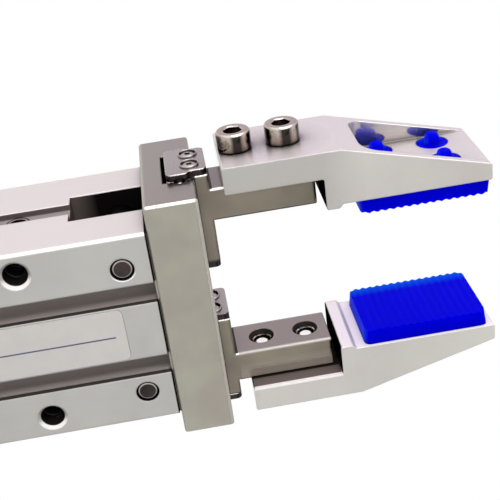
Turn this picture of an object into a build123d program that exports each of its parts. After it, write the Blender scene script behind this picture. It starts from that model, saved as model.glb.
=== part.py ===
from build123d import *
import os
from math import asin, cos, sin, sqrt

os.makedirs("parts", exist_ok=True)

# Pneumatic parallel gripper, sizes in millimetres.
# The origin is the centre of the rear mounting face and +Z is the way the fingers point.
# X is the way the fingers travel, and the wide faces of the body look along -Y and +Y.
# Everything is drawn with the fingers open. Side pieces are drawn on the +X side, the
# right one, and mirrored at the end.

# Body block
body_width = 30.6
body_depth = 23.6
body_edge = 0.5
wide_face = body_depth / 2
narrow_face = body_width / 2

# Air cylinder in the rear of the body, with the play that the piston has at each end
bore = 16.0
locating_step = 0.5
locating_depth = 1.5
rear_play = 0.28
front_play = 0.45
rod_wall = 3.7

# Sensor grooves in the wide faces and shallow grooves in the narrow faces
groove_spacing = 12.0
groove_mouth = 3.15
groove_lip = 0.9
groove_round = 4.1
side_groove_width = 3.4
side_groove_depth = 0.9

# Channel across the front of the body, in which the levers swing
channel_width = 8.3
channel_depth = 10.8

# Finger drive: the levers turn on pins, and stand upright half way through the travel
finger_travel = 3.0
pivot_inset = 5.0
pivot_depth = 4.0
pin_diameter = 3.0
pin_mouth = 3.4
pin_mouth_depth = 0.35
pin_recess = 0.15
pin_edge = 0.25
drive_arm = 8.5
rod_arm = 7.0
drive_tip = 3.0
rod_tip = 2.8
arm_thickness = 2.3
lever_boss = 5.2
lever_tip_width = 6.0
lever_neck = 2.4
lever_tip_length = 4.1

# Mounting holes: tapped from both wide faces and drilled through, and tapped in the rear
side_bolt_spacing = 24.0
side_bolt_height = 24.1
side_bolt_hole = 3.4
side_bolt_mouth = 4.4
rear_bolt_spacing_x = 24.0
rear_bolt_spacing_y = 16.0
rear_bolt_hole = 3.3
rear_bolt_mouth = 4.2
rear_bolt_depth = 8.0
lock_hole = 2.5
lock_mouth = 3.0

# Air ports in the right narrow face
port_hole = 4.2
port_mouth = 5.4
port_depth = 3.2
port_seat = 7.5
rear_port_offset = 0.9
front_port_offset = 3.0
air_passage = 1.4
front_passage_offset = 1.7

# Guide head on the front of the body
head_width = 38.0
head_height = 7.8
head_edge = 0.45
joint_line = 0.25
joint_inset = 0.35
head_screw_inset_x = 2.0
head_screw_inset_y = 3.0
head_screw = 2.5
head_screw_head = 4.4
head_screw_head_height = 2.4
head_screw_pocket = 4.7
head_screw_sunk = 0.3
head_screw_length = 8.0
head_screw_socket = 2.0
crosshead_relief = 1.0

# Slider of each finger, running in the slot of the head
slot_width = 10.0
slot_depth = 4.5
slider_gap = 10.2
slider_setback = 0.05
slider_neck = 8.0
slider_rise = 1.9
slider_shoulder = 3.5
ball = 1.6
ball_height = 5.7
ball_count = 5
ball_inset = 0.1
end_plate = 1.0
plate_step = 0.7
plate_corner = 0.8
plate_screw_spacing = 3.8
plate_screw_height = 7.4
plate_screw = 1.6
plate_screw_head = 2.8
plate_screw_head_height = 0.35
plate_screw_length = 4.0

# Finger
finger_gap = 23.2
finger_thickness = 5.0
finger_length = 15.1
finger_edge = 0.3
finger_screw = 3.0
finger_screw_pitch = 7.0
finger_screw_start = 4.55
finger_screw_mouth = 4.1
finger_screw_count = 2

# Jaw: a plate on the back of the finger, a hook over its tip and a wedge beyond
jaw_width = 14.0
jaw_plate = 4.0
jaw_start = 1.9
jaw_edge = 0.2
hook_gap = 0.9
hook_thickness = 2.0
hook_height = 4.85
wedge_start = 18.8
wedge_end = 40.1
jaw_tip = 2.5
hook_slope = 0.25
pad_seat = 0.6
pocket_start = 21.8
pocket_wall = 1.1
pocket_floor = 2.7
pocket_corner = 2.5

# Pad: ribbed slab with four studs that snap through the jaw
pad_width = 13.2
pad_thickness = 2.5
pad_start_gap = 1.85
pad_end_gap = 0.95
pad_corner = 1.0
pad_draft = 0.75
pad_edge = 0.45
rib_height = 0.28
rib_count = 15
stud_spacing_z = 8.5
stud_spacing_y = 6.6
stud_offset = 0.45
stud = 3.0
stud_head = 4.8
stud_head_height = 0.8
stud_tail = 2.3
stud_tail_height = 1.6
stud_dome = 0.9

# Jaw screws
jaw_screw_head = 5.0
jaw_screw_head_height = 2.85
jaw_screw_socket = 2.5
jaw_screw_length = 8.0
screw_edge = 0.3

# Piston and rod
rod = 6.0
piston_length = 10.0
piston_nose = 12.5
piston_nose_length = 1.4
piston_relief = 0.8
shank = 4.0
nut_size = 7.0
nut_height = 2.2
nut_recess = 9.0
nut_recess_depth = 2.4
seal_width = 2.0
seal_depth = 1.5
seal_offset = 5.6
magnet_width = 2.7
magnet_depth = 1.6
magnet_offset = 1.8
crosshead_lip = 0.2
crosshead_wall = 1.4

# Rod cover, rear cap and their rings
cover_diameter = 11.0
cover_length = 6.0
rod_seal_diameter = 9.0
rod_seal_height = 2.4
cover_ring_section = 0.96
cover_ring_offset = 1.4
bumper_height = 0.75
front_bumper_gap = 0.5
front_bumper_inner = 11.6
rear_bumper_outer = 13.0
rear_bumper_inner = 9.0
ring_groove_start = 2.45
ring_groove_width = 1.05
ring_groove_depth = 0.6
ring_thickness = 0.9
ring_width = 1.7
ring_gap = 5.0
ring_lug = 2.6
ring_lug_hole = 1.2
cap_height = 3.8
cap_ring_section = 1.16
cap_ring_offset = 1.4

# Label on the wide face, between the sensor grooves
label_start = 3.4
label_end_gap = 5.3
label_margin = 0.275
label_thickness = 0.1
label_corner = 0.9

# Named clearances
seat_fit = 0.02
running_fit = 0.03
slide_gap = 0.6
notch_gap = 0.1
side_gap = 0.25
thread_runout = 0.5

# Drive: how far the levers tilt, and how far they pull the rod
pivot_x = narrow_face - pivot_inset
open_tilt = asin(finger_travel / 2 / drive_arm)
piston_stroke = 2 * rod_arm * sin(open_tilt)

# Heights of what the body holds, one after the other from the rear face to the front
ring_seat = ring_groove_start + seat_fit
cap_rear = ring_groove_start + ring_groove_width
cap_front = cap_rear + cap_height
cap_groove_end = cap_rear + cap_ring_offset + cap_ring_section + 2 * seat_fit
piston_rear = cap_front + bumper_height + rear_play + piston_stroke
piston_front = piston_rear + piston_length
bore_end = piston_front + front_play + bumper_height
cover_groove_end = bore_end + cover_ring_offset + cover_ring_section + 2 * seat_fit
cover_end = bore_end + cover_length
channel_floor = cover_end + rod_wall
body_height = channel_floor + channel_depth
pivot_height = body_height - pivot_depth
label_end = body_height - label_end_gap

# Across the body
locating_bore = bore + 2 * locating_step
ring_groove_diameter = bore + 2 * ring_groove_depth
front_bumper_outer = bore - 2 * front_bumper_gap
channel_fit = channel_width - 2 * side_gap
groove_x = groove_spacing / 2
groove_centre = wide_face - groove_lip - sqrt(groove_round**2 - groove_mouth**2) / 2
label_width = groove_spacing - groove_mouth - 2 * label_margin
rear_port_height = cap_front + rear_port_offset
front_port_height = bore_end - front_port_offset
front_passage_height = bore_end - front_passage_offset

# Lever tips, and the crosshead that they pull
drive_x = pivot_x + drive_arm * sin(open_tilt)
drive_z_top = pivot_height + drive_arm
rod_tip_z = pivot_height + rod_arm * sin(open_tilt)
crosshead_width = 2 * (pivot_x - rod_arm) + rod_tip + 2 * crosshead_lip
crosshead_height = rod_tip + 2 * notch_gap + 2 * crosshead_wall
crosshead_base = rod_tip_z - crosshead_height / 2
notch_depth = crosshead_lip + rod_tip + side_gap

# Guide head and sliders
head_base = body_height + joint_line
head_face = body_height + head_height
head_seat = head_face - head_screw_head_height - head_screw_sunk
head_screw_spacing_x = body_width - 2 * head_screw_inset_x
head_screw_spacing_y = body_depth - 2 * head_screw_inset_y
slot_floor = head_face - slot_depth
slider_base = slot_floor + slide_gap
slider_top = head_face + slider_rise
slider_width = slot_width - 2 * side_gap
slider_inner = slider_gap / 2
slider_outer = head_width / 2 - slider_setback
slider_length = slider_outer - slider_inner
ball_side = slot_width / 2 - ball_inset
ball_z = body_height + ball_height
screw_z = body_height + plate_screw_height

# Fingers, jaws and pads
finger_inner = finger_gap / 2
finger_outer = finger_inner + finger_thickness
finger_tip = slider_top + finger_length
first_screw = slider_top + finger_screw_start
jaw_outer = finger_outer + jaw_plate
hook_back = finger_tip + hook_gap
hook_front = hook_back + hook_thickness
hook_inner = finger_outer - hook_height
pad_base = hook_inner + pad_seat
jaw_end = slider_top + wedge_end
floor_outer = pad_base + pocket_floor
pad_start = hook_front + pad_start_gap
pad_end = jaw_end - pad_end_gap
pad_length = pad_end - pad_start
stud_middle = (pad_start + pad_end) / 2 + stud_offset

upwards = (Align.CENTER, Align.CENTER, Align.MIN)
downwards = (Align.CENTER, Align.CENTER, Align.MAX)


def save(piece, name):
    """Name a finished piece and write it to its own file."""
    piece.part.label = name
    export_step(piece.part, f"parts/{name}.step")


# Body
with BuildPart() as body:
    with BuildSketch() as block:
        Rectangle(body_width, body_depth)
        fillet(block.vertices(), body_edge)
        # Sensor grooves: a round channel behind a narrower mouth
        for face in (-1, 1):
            with Locations((-groove_x, face * groove_centre), (groove_x, face * groove_centre)):
                Circle(groove_round / 2, mode=Mode.SUBTRACT)
            with Locations((-groove_x, face * wide_face), (groove_x, face * wide_face)):
                Rectangle(groove_mouth, 2 * (wide_face - groove_centre), mode=Mode.SUBTRACT)
    extrude(amount=body_height)
    # Shallow groove along each narrow face, up to the lever channel
    with BuildSketch() as side_grooves:
        with Locations((-narrow_face, 0), (narrow_face, 0)):
            Rectangle(2 * side_groove_depth, side_groove_width)
    extrude(amount=channel_floor, mode=Mode.SUBTRACT)
    # Lever channel from one narrow face to the other
    with BuildSketch(Plane.XY.offset(channel_floor)):
        Rectangle(body_width, channel_width)
    extrude(amount=body_height - channel_floor, mode=Mode.SUBTRACT)
    # Cylinder, stepped from the rear face to the rod hole
    with BuildSketch(Plane.XZ) as cylinder:
        with BuildLine():
            Polyline(
                (0, 0),
                (locating_bore / 2, 0),
                (locating_bore / 2, locating_depth),
                (bore / 2, locating_depth),
                (bore / 2, ring_groove_start),
                (ring_groove_diameter / 2, ring_groove_start),
                (ring_groove_diameter / 2, ring_groove_start + ring_groove_width),
                (bore / 2, ring_groove_start + ring_groove_width),
                (bore / 2, bore_end),
                (cover_diameter / 2, bore_end),
                (cover_diameter / 2, bore_end + cover_length),
                (rod / 2 + side_gap, bore_end + cover_length),
                (rod / 2 + side_gap, channel_floor),
                (0, channel_floor),
                close=True,
            )
        make_face()
    revolve(axis=Axis.Z, mode=Mode.SUBTRACT)
    # Pin holes and mounting holes, from wide face to wide face
    for face in (-1, 1):
        near = Plane((0, face * wide_face, 0), x_dir=(1, 0, 0), z_dir=(0, face, 0))
        with Locations(near):
            with Locations((-pivot_x, -face * pivot_height), (pivot_x, -face * pivot_height)):
                CounterBoreHole(pin_diameter / 2 + seat_fit, pin_mouth / 2, pin_mouth_depth, wide_face)
            for side in (-1, 1):
                with Locations((side * side_bolt_spacing / 2, -face * side_bolt_height)):
                    CounterSinkHole(side_bolt_hole / 2, side_bolt_mouth / 2, wide_face)
    # Tapped holes in the rear face
    with Locations(Plane((0, 0, 0), x_dir=(1, 0, 0), z_dir=(0, 0, -1))):
        with GridLocations(rear_bolt_spacing_x, rear_bolt_spacing_y, 2, 2):
            CounterSinkHole(rear_bolt_hole / 2, rear_bolt_mouth / 2, rear_bolt_depth)
    # Air ports in the right narrow face, each with a flat seat and a passage to the cylinder
    right = Plane((narrow_face, 0, 0), x_dir=(0, 1, 0), z_dir=(1, 0, 0))
    for height, passage_height in (
        (rear_port_height, rear_port_height),
        (front_port_height, front_passage_height),
    ):
        with BuildSketch(right) as seat:
            with Locations((0, height)):
                Circle(port_seat / 2)
        extrude(amount=-side_groove_depth, mode=Mode.SUBTRACT)
        with Locations(right.offset(-side_groove_depth)):
            with Locations((0, height)):
                CounterSinkHole(port_hole / 2, port_mouth / 2, port_depth)
            with Locations((0, passage_height)):
                Hole(air_passage / 2, narrow_face - side_groove_depth - bore / 2 + air_passage)
    # Tapped lock hole in the left narrow face, into the bolt hole behind it
    left = Plane((-narrow_face + side_groove_depth, 0, 0), x_dir=(0, 1, 0), z_dir=(-1, 0, 0))
    with Locations(left):
        with Locations((0, side_bolt_height)):
            lock_depth = narrow_face - side_groove_depth - side_bolt_spacing / 2
            CounterSinkHole(lock_hole / 2, lock_mouth / 2, lock_depth)
    # Tapped holes for the head screws
    with Locations(Plane.XY.offset(body_height)):
        with GridLocations(head_screw_spacing_x, head_screw_spacing_y, 2, 2):
            Hole(head_screw / 2 + seat_fit, body_height - head_seat + head_screw_length + thread_runout)
save(body, "body")

# Guide head: a block with the cross slot, the ball races and windows for the levers
with BuildPart() as guide_head:
    with BuildSketch(Plane.XY.offset(head_base)) as plate:
        Rectangle(head_width, body_depth)
    extrude(amount=head_height - joint_line)
    fillet(guide_head.edges(), head_edge)
    with BuildSketch(Plane.XY.offset(body_height)):
        Rectangle(body_width - 2 * joint_inset, body_depth - 2 * joint_inset)
    extrude(amount=joint_line + head_edge)
    with BuildSketch(Plane.YZ.offset(-head_width / 2)) as cross_slot:
        with Locations((0, (slot_floor + head_face) / 2)):
            Rectangle(slot_width, slot_depth)
        with Locations((-ball_side, ball_z), (ball_side, ball_z)):
            Circle(ball / 2 + running_fit)
    extrude(amount=head_width, mode=Mode.SUBTRACT)
    window_inner = pivot_x - drive_arm * sin(open_tilt) - drive_tip / 2 - 2 * side_gap
    window_outer = drive_x + drive_tip / 2 + 2 * side_gap
    with BuildSketch(Plane.XY.offset(body_height)) as windows:
        for side in (-1, 1):
            with Locations((side * (window_inner + window_outer) / 2, 0)):
                Rectangle(window_outer - window_inner, channel_width)
    extrude(amount=head_height, mode=Mode.SUBTRACT)
    # Room for the crosshead at the end of its stroke
    with BuildSketch(Plane.XY.offset(body_height)) as crosshead_room:
        Rectangle(crosshead_width + 4 * side_gap, channel_width)
    extrude(amount=joint_line + crosshead_relief, mode=Mode.SUBTRACT)
    with Locations(Plane.XY.offset(head_face)):
        with GridLocations(head_screw_spacing_x, head_screw_spacing_y, 2, 2):
            CounterBoreHole(head_screw / 2 + seat_fit, head_screw_pocket / 2, head_face - head_seat)
save(guide_head, "guide_head")

# Socket head cap screws that hold the guide head
with BuildPart() as head_screws:
    with Locations(Plane.XY.offset(head_seat)):
        with GridLocations(head_screw_spacing_x, head_screw_spacing_y, 2, 2):
            Cylinder(head_screw_head / 2, head_screw_head_height, align=upwards)
            Cylinder(head_screw / 2, head_screw_length, align=downwards)
    with BuildSketch(Plane.XY.offset(head_seat + head_screw_head_height)) as sockets:
        with GridLocations(head_screw_spacing_x, head_screw_spacing_y, 2, 2):
            RegularPolygon(head_screw_socket / 2, 6, major_radius=False)
    extrude(amount=-head_screw_head_height / 2, mode=Mode.SUBTRACT)
save(head_screws, "head_screws")

# Piston: an aluminium disc with a seal groove, a magnet groove and a nut recess
with BuildPart() as piston:
    with BuildSketch(Plane.XZ) as half_piston:
        with BuildLine():
            Polyline(
                (shank / 2 + seat_fit, piston_rear + nut_recess_depth),
                (nut_recess / 2, piston_rear + nut_recess_depth),
                (nut_recess / 2, piston_rear),
                (piston_nose / 2, piston_rear),
                (piston_nose / 2, piston_rear + piston_relief),
                (bore / 2 - 2 * running_fit, piston_rear + piston_relief),
                (bore / 2 - 2 * running_fit, piston_rear + magnet_offset),
                (bore / 2 - magnet_depth, piston_rear + magnet_offset),
                (bore / 2 - magnet_depth, piston_rear + magnet_offset + magnet_width),
                (bore / 2 - 2 * running_fit, piston_rear + magnet_offset + magnet_width),
                (bore / 2 - 2 * running_fit, piston_rear + seal_offset),
                (bore / 2 - seal_depth, piston_rear + seal_offset),
                (bore / 2 - seal_depth, piston_rear + seal_offset + seal_width),
                (bore / 2 - 2 * running_fit, piston_rear + seal_offset + seal_width),
                (bore / 2 - 2 * running_fit, piston_front - piston_nose_length),
                (piston_nose / 2, piston_front - piston_nose_length),
                (piston_nose / 2, piston_front),
                (shank / 2 + seat_fit, piston_front),
                close=True,
            )
        make_face()
    revolve(axis=Axis.Z)
save(piston, "piston")

with BuildPart() as piston_magnet:
    with BuildSketch(Plane.XY.offset(piston_rear + magnet_offset + seat_fit)):
        Circle(bore / 2 - 5 * running_fit)
        Circle(bore / 2 - magnet_depth + seat_fit, mode=Mode.SUBTRACT)
    extrude(amount=magnet_width - 2 * seat_fit)
save(piston_magnet, "piston_magnet")

with BuildPart() as piston_seal:
    seal_middle = piston_rear + seal_offset + seal_width / 2
    seal_half = seal_width / 2 - seat_fit
    with BuildSketch(Plane.XZ) as half_seal:
        with BuildLine():
            Polyline(
                (bore / 2 - seal_depth + seat_fit, seal_middle - seal_half),
                (bore / 2 - seal_depth / 2, seal_middle - seal_half),
                (bore / 2 - running_fit, seal_middle - seal_half / 2),
                (bore / 2 - running_fit, seal_middle + seal_half / 2),
                (bore / 2 - seal_depth / 2, seal_middle + seal_half),
                (bore / 2 - seal_depth + seat_fit, seal_middle + seal_half),
                close=True,
            )
        make_face()
    revolve(axis=Axis.Z)
save(piston_seal, "piston_seal")

with BuildPart() as piston_nut:
    with BuildSketch(Plane.XY.offset(piston_rear + nut_recess_depth)):
        RegularPolygon(nut_size / 2, 6, major_radius=False)
        Circle(shank / 2 + seat_fit, mode=Mode.SUBTRACT)
    extrude(amount=-nut_height)
save(piston_nut, "piston_nut")

# Piston rod with its crosshead, which has a notch for each lever
with BuildPart() as piston_rod:
    with Locations(Plane.XY.offset(piston_front)):
        Cylinder(rod / 2, crosshead_base - piston_front, align=upwards)
        Cylinder(shank / 2, piston_length - nut_recess_depth + nut_height, align=downwards)
    with BuildSketch(Plane.XZ) as crosshead:
        with Locations((0, rod_tip_z)):
            Rectangle(crosshead_width, crosshead_height)
        fillet(crosshead.vertices(), head_edge)
        for side in (-1, 1):
            with Locations((side * crosshead_width / 2, rod_tip_z)):
                Rectangle(2 * notch_depth, rod_tip + 2 * notch_gap, mode=Mode.SUBTRACT)
    extrude(amount=channel_fit / 2, both=True)
save(piston_rod, "piston_rod")

# Rod cover: the bush that the rod slides in, with pockets for two rings
with BuildPart() as rod_cover:
    with BuildSketch(Plane.XZ) as half_cover:
        with BuildLine():
            Polyline(
                (rod / 2 + running_fit, bore_end),
                (cover_diameter / 2 - seat_fit, bore_end),
                (cover_diameter / 2 - seat_fit, bore_end + cover_ring_offset),
                (cover_diameter / 2 - cover_ring_section - seat_fit, bore_end + cover_ring_offset),
                (cover_diameter / 2 - cover_ring_section - seat_fit, cover_groove_end),
                (cover_diameter / 2 - seat_fit, cover_groove_end),
                (cover_diameter / 2 - seat_fit, cover_end),
                (rod_seal_diameter / 2, cover_end),
                (rod_seal_diameter / 2, cover_end - rod_seal_height),
                (rod / 2 + running_fit, cover_end - rod_seal_height),
                close=True,
            )
        make_face()
    revolve(axis=Axis.Z)
save(rod_cover, "rod_cover")

with BuildPart() as rod_seal:
    with BuildSketch(Plane.XZ) as half_lip_seal:
        with BuildLine():
            Polyline(
                (rod / 2 + running_fit, cover_end - seat_fit),
                (rod / 2 + running_fit, cover_end - rod_seal_height / 2),
                (rod / 2 + side_gap, cover_end - rod_seal_height + seat_fit),
                (rod_seal_diameter / 2 - seat_fit, cover_end - rod_seal_height + seat_fit),
                (rod_seal_diameter / 2 - seat_fit, cover_end - seat_fit),
                close=True,
            )
        make_face()
    revolve(axis=Axis.Z)
save(rod_seal, "rod_seal")

with BuildPart() as cover_ring:
    with Locations((0, 0, bore_end + cover_ring_offset + cover_ring_section / 2 + seat_fit)):
        Torus((cover_diameter - cover_ring_section) / 2 - seat_fit, cover_ring_section / 2 - seat_fit)
save(cover_ring, "cover_ring")

# Rubber bumpers that the piston stops on
with BuildPart() as front_bumper:
    with BuildSketch(Plane.XY.offset(bore_end)):
        Circle(front_bumper_outer / 2)
        Circle(front_bumper_inner / 2, mode=Mode.SUBTRACT)
    extrude(amount=-bumper_height)
save(front_bumper, "front_bumper")

with BuildPart() as rear_bumper:
    with BuildSketch(Plane.XY.offset(cap_front)):
        Circle(rear_bumper_outer / 2)
        Circle(rear_bumper_inner / 2, mode=Mode.SUBTRACT)
    extrude(amount=bumper_height)
save(rear_bumper, "rear_bumper")

# Rear cap with its o-ring, held by a ring in the groove of the cylinder
with BuildPart() as rear_cap:
    with BuildSketch(Plane.XZ) as half_cap:
        with BuildLine():
            Polyline(
                (0, cap_rear),
                (bore / 2 - seat_fit, cap_rear),
                (bore / 2 - seat_fit, cap_rear + cap_ring_offset),
                (bore / 2 - cap_ring_section - seat_fit, cap_rear + cap_ring_offset),
                (bore / 2 - cap_ring_section - seat_fit, cap_groove_end),
                (bore / 2 - seat_fit, cap_groove_end),
                (bore / 2 - seat_fit, cap_front),
                (0, cap_front),
                close=True,
            )
        make_face()
    revolve(axis=Axis.Z)
    with Locations(Plane((0, 0, cap_rear), x_dir=(1, 0, 0), z_dir=(0, 0, -1))):
        Hole(lock_hole / 2, cap_height / 2)
save(rear_cap, "rear_cap")

with BuildPart() as cap_ring:
    with Locations((0, 0, cap_rear + cap_ring_offset + cap_ring_section / 2 + seat_fit)):
        Torus((bore - cap_ring_section) / 2 - seat_fit, cap_ring_section / 2 - seat_fit)
save(cap_ring, "cap_ring")

with BuildPart() as retaining_ring:
    ring_outer = ring_groove_diameter / 2 - seat_fit
    lug_place = bore / 2 - ring_lug / 2 - side_gap
    with BuildSketch(Plane.XY.offset(ring_seat)) as open_ring:
        Circle(ring_outer)
        Circle(ring_outer - ring_width, mode=Mode.SUBTRACT)
        with Locations((0, ring_outer)):
            Rectangle(ring_gap, 2 * (ring_width + side_gap), mode=Mode.SUBTRACT)
        for side in (-1, 1):
            with Locations((side * (ring_gap + ring_lug) / 2, lug_place - side_gap)):
                Circle(ring_lug / 2)
        for side in (-1, 1):
            with Locations((side * (ring_gap + ring_lug) / 2, lug_place - side_gap)):
                Circle(ring_lug_hole / 2, mode=Mode.SUBTRACT)
    extrude(amount=ring_thickness)
save(retaining_ring, "retaining_ring")

# Label: a bare sticker between the two sensor grooves
with BuildPart() as label:
    with BuildSketch(Plane.XZ.offset(wide_face)) as sticker:
        with Locations((0, (label_start + label_end) / 2)):
            RectangleRounded(label_width, label_end - label_start, label_corner)
    extrude(amount=label_thickness)
save(label, "label")

# Lever pin: held in the body, with the lever turning on it
with BuildPart() as lever_pin:
    with Locations(Plane((pivot_x, 0, pivot_height), x_dir=(1, 0, 0), z_dir=(0, -1, 0))):
        Cylinder(pin_diameter / 2, body_depth - 2 * pin_recess)
    chamfer(lever_pin.edges().filter_by(GeomType.CIRCLE), pin_edge)

# Lever: a bell crank with a round tip on each arm, drawn in its own turned plane
lever_plane = Plane(
    (pivot_x, 0, pivot_height),
    x_dir=(cos(open_tilt), 0, -sin(open_tilt)),
    z_dir=(0, -1, 0),
)
with BuildPart() as lever:
    with BuildSketch(lever_plane) as crank:
        Circle(lever_boss / 2)
        with Locations((0, drive_arm / 2)):
            Rectangle(lever_neck, drive_arm)
        with Locations((-rod_arm / 2, 0)):
            Rectangle(rod_arm, arm_thickness)
        with Locations((0, drive_arm)):
            Circle(drive_tip / 2)
        with Locations((-rod_arm, 0)):
            Circle(rod_tip / 2)
    extrude(amount=channel_fit / 2, both=True)
    # The arm is thinner where it reaches into the slider
    for side in (-1, 1):
        with Locations(lever_plane.offset(side * (lever_tip_width / 2 + channel_fit) / 2)):
            with Locations((0, drive_arm)):
                Box(
                    lever_boss,
                    2 * (lever_tip_length - drive_tip / 2),
                    channel_fit - lever_tip_width / 2,
                    mode=Mode.SUBTRACT,
                )
    with Locations(lever_plane):
        Hole(pin_diameter / 2 + running_fit, channel_fit)

# Finger and slider, milled from one piece
with BuildPart() as finger:
    with BuildSketch(Plane.YZ.offset(slider_inner)) as slider_section:
        with Locations((0, slider_base + slider_shoulder / 2)):
            Rectangle(slider_width, slider_shoulder)
        with Locations((0, (slider_base + slider_top) / 2)):
            Rectangle(slider_neck, slider_top - slider_base)
        with Locations((-ball_side, ball_z), (ball_side, ball_z)):
            Circle(ball / 2 + seat_fit, mode=Mode.SUBTRACT)
    extrude(amount=slider_length)
    with BuildSketch(Plane.XY.offset(slider_top)):
        with Locations(((finger_inner + finger_outer) / 2, 0)):
            Rectangle(finger_thickness, slider_neck)
    extrude(amount=finger_length)
    tip_edges = finger.faces().sort_by(Axis.Z)[-1].edges()
    long_edges = finger.edges().filter_by(Axis.Z).group_by(Edge.length)[-1]
    fillet(tip_edges + long_edges, finger_edge)
    # Notch for the lever
    notch_top = drive_z_top + drive_tip / 2 + side_gap
    with BuildSketch(Plane.XY.offset(slider_base)):
        with Locations((drive_x, 0)):
            Rectangle(drive_tip + 2 * notch_gap, lever_tip_width + 2 * side_gap)
    extrude(amount=notch_top - slider_base, mode=Mode.SUBTRACT)
    # Tapped holes, opening on the gripping side
    with Locations(Plane((finger_inner, 0, first_screw), x_dir=(0, 0, 1), z_dir=(-1, 0, 0))):
        for step in range(finger_screw_count):
            with Locations((step * finger_screw_pitch, 0)):
                CounterSinkHole(finger_screw / 2 + seat_fit, finger_screw_mouth / 2, finger_thickness)
    # Screw holes in both ends of the slider
    for end, way in ((slider_inner, -1), (slider_outer, 1)):
        with Locations(Plane((end, 0, screw_z), x_dir=(0, 1, 0), z_dir=(way, 0, 0))):
            with GridLocations(plate_screw_spacing, 1, 2, 1):
                Hole(plate_screw / 2 + seat_fit, plate_screw_length - end_plate + thread_runout)

# End plates, which keep the balls in the slider
with BuildSketch(Plane.YZ) as plate_outline:
    with BuildLine():
        Polyline(
            (-slider_width / 2, slider_base),
            (slider_width / 2, slider_base),
            (slider_width / 2, slider_base + slider_shoulder - plate_step),
            (slider_neck / 2, slider_base + slider_shoulder),
            (slider_neck / 2, slider_top),
            (-slider_neck / 2, slider_top),
            (-slider_neck / 2, slider_base + slider_shoulder),
            (-slider_width / 2, slider_base + slider_shoulder - plate_step),
            close=True,
        )
    make_face()
    fillet(plate_outline.vertices().group_by(Axis.Z)[-1], plate_corner)
    with Locations((0, screw_z)):
        with GridLocations(plate_screw_spacing, 1, 2, 1):
            Circle(plate_screw / 2 + seat_fit, mode=Mode.SUBTRACT)

with BuildPart() as outer_plate:
    with BuildSketch(Plane.YZ.offset(slider_outer)):
        add(plate_outline.sketch_local)
    extrude(amount=end_plate)

with BuildPart() as inner_plate:
    with BuildSketch(Plane.YZ.offset(slider_inner)):
        add(plate_outline.sketch_local)
    extrude(amount=-end_plate)

with BuildPart() as plate_screws:
    for end, way in ((slider_inner, -1), (slider_outer, 1)):
        plate_face = Plane((end + way * end_plate, 0, screw_z), x_dir=(0, 1, 0), z_dir=(way, 0, 0))
        with Locations(plate_face):
            with GridLocations(plate_screw_spacing, 1, 2, 1):
                Cylinder(plate_screw_head / 2, plate_screw_head_height, align=upwards)
                Cylinder(plate_screw / 2, plate_screw_length, align=downwards)
    head_rims = plate_screws.edges().filter_by(GeomType.CIRCLE).group_by(Axis.X)
    fillet(head_rims[0] + head_rims[-1], plate_screw_head_height / 2)

# Steel balls, a row in each race of the slider
with BuildPart() as balls:
    ball_step = (slider_length - ball - 2 * seat_fit) / (ball_count - 1)
    with Locations(((slider_inner + slider_outer) / 2, 0, ball_z)):
        with GridLocations(ball_step, 2 * ball_side, ball_count, 2):
            Sphere(ball / 2)

# Jaw: plate, hook and wedge in one outline, then the pocket and the holes
with BuildPart() as jaw:
    with BuildSketch(Plane.XZ) as jaw_outline:
        with BuildLine():
            Polyline(
                (finger_outer, slider_top + jaw_start),
                (jaw_outer, slider_top + jaw_start),
                (jaw_outer, slider_top + wedge_start),
                (pad_base + jaw_tip, jaw_end),
                (pad_base, jaw_end),
                (pad_base, hook_front + hook_slope),
                (hook_inner, hook_front),
                (hook_inner, hook_back),
                (finger_outer, hook_back),
                close=True,
            )
        make_face()
    extrude(amount=jaw_width / 2, both=True)
    chamfer(jaw.edges().filter_by(Axis.Y), jaw_edge)
    with BuildSketch(Plane.YZ.offset(floor_outer)) as pocket:
        pocket_length = wedge_end - pocket_start + pocket_corner
        with Locations((0, slider_top + pocket_start + pocket_length / 2)):
            Rectangle(jaw_width - 2 * pocket_wall, pocket_length)
        fillet(pocket.vertices().group_by(Axis.Z)[0], pocket_corner)
    extrude(amount=jaw_outer - floor_outer, mode=Mode.SUBTRACT)
    with Locations(Plane((jaw_outer, 0, first_screw), x_dir=(0, 0, 1), z_dir=(1, 0, 0))):
        for step in range(finger_screw_count):
            with Locations((step * finger_screw_pitch, 0)):
                Hole(finger_screw / 2 + side_gap / 2, jaw_plate)
    with Locations(Plane((floor_outer, 0, stud_middle), x_dir=(0, 0, 1), z_dir=(1, 0, 0))):
        with GridLocations(stud_spacing_z, stud_spacing_y, 2, 2):
            CounterBoreHole(stud / 2, stud_head / 2, stud_head_height, pocket_floor)

# Socket head cap screws through each jaw into the finger
with BuildPart() as jaw_screws:
    for step in range(finger_screw_count):
        screw_place = (jaw_outer, 0, first_screw + step * finger_screw_pitch)
        with Locations(Plane(screw_place, x_dir=(0, 1, 0), z_dir=(1, 0, 0))):
            Cylinder(jaw_screw_head / 2, jaw_screw_head_height, align=upwards)
            Cylinder(finger_screw / 2, jaw_screw_length, align=downwards)
    screw_rims = jaw_screws.edges().filter_by(GeomType.CIRCLE).group_by(Axis.X)
    chamfer(screw_rims[0] + screw_rims[-1], screw_edge)
    with BuildSketch(Plane.YZ.offset(jaw_outer + jaw_screw_head_height)) as jaw_sockets:
        for step in range(finger_screw_count):
            with Locations((0, first_screw + step * finger_screw_pitch)):
                RegularPolygon(jaw_screw_socket / 2, 6, major_radius=False)
    extrude(amount=-jaw_screw_head_height / 2, mode=Mode.SUBTRACT)

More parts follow.
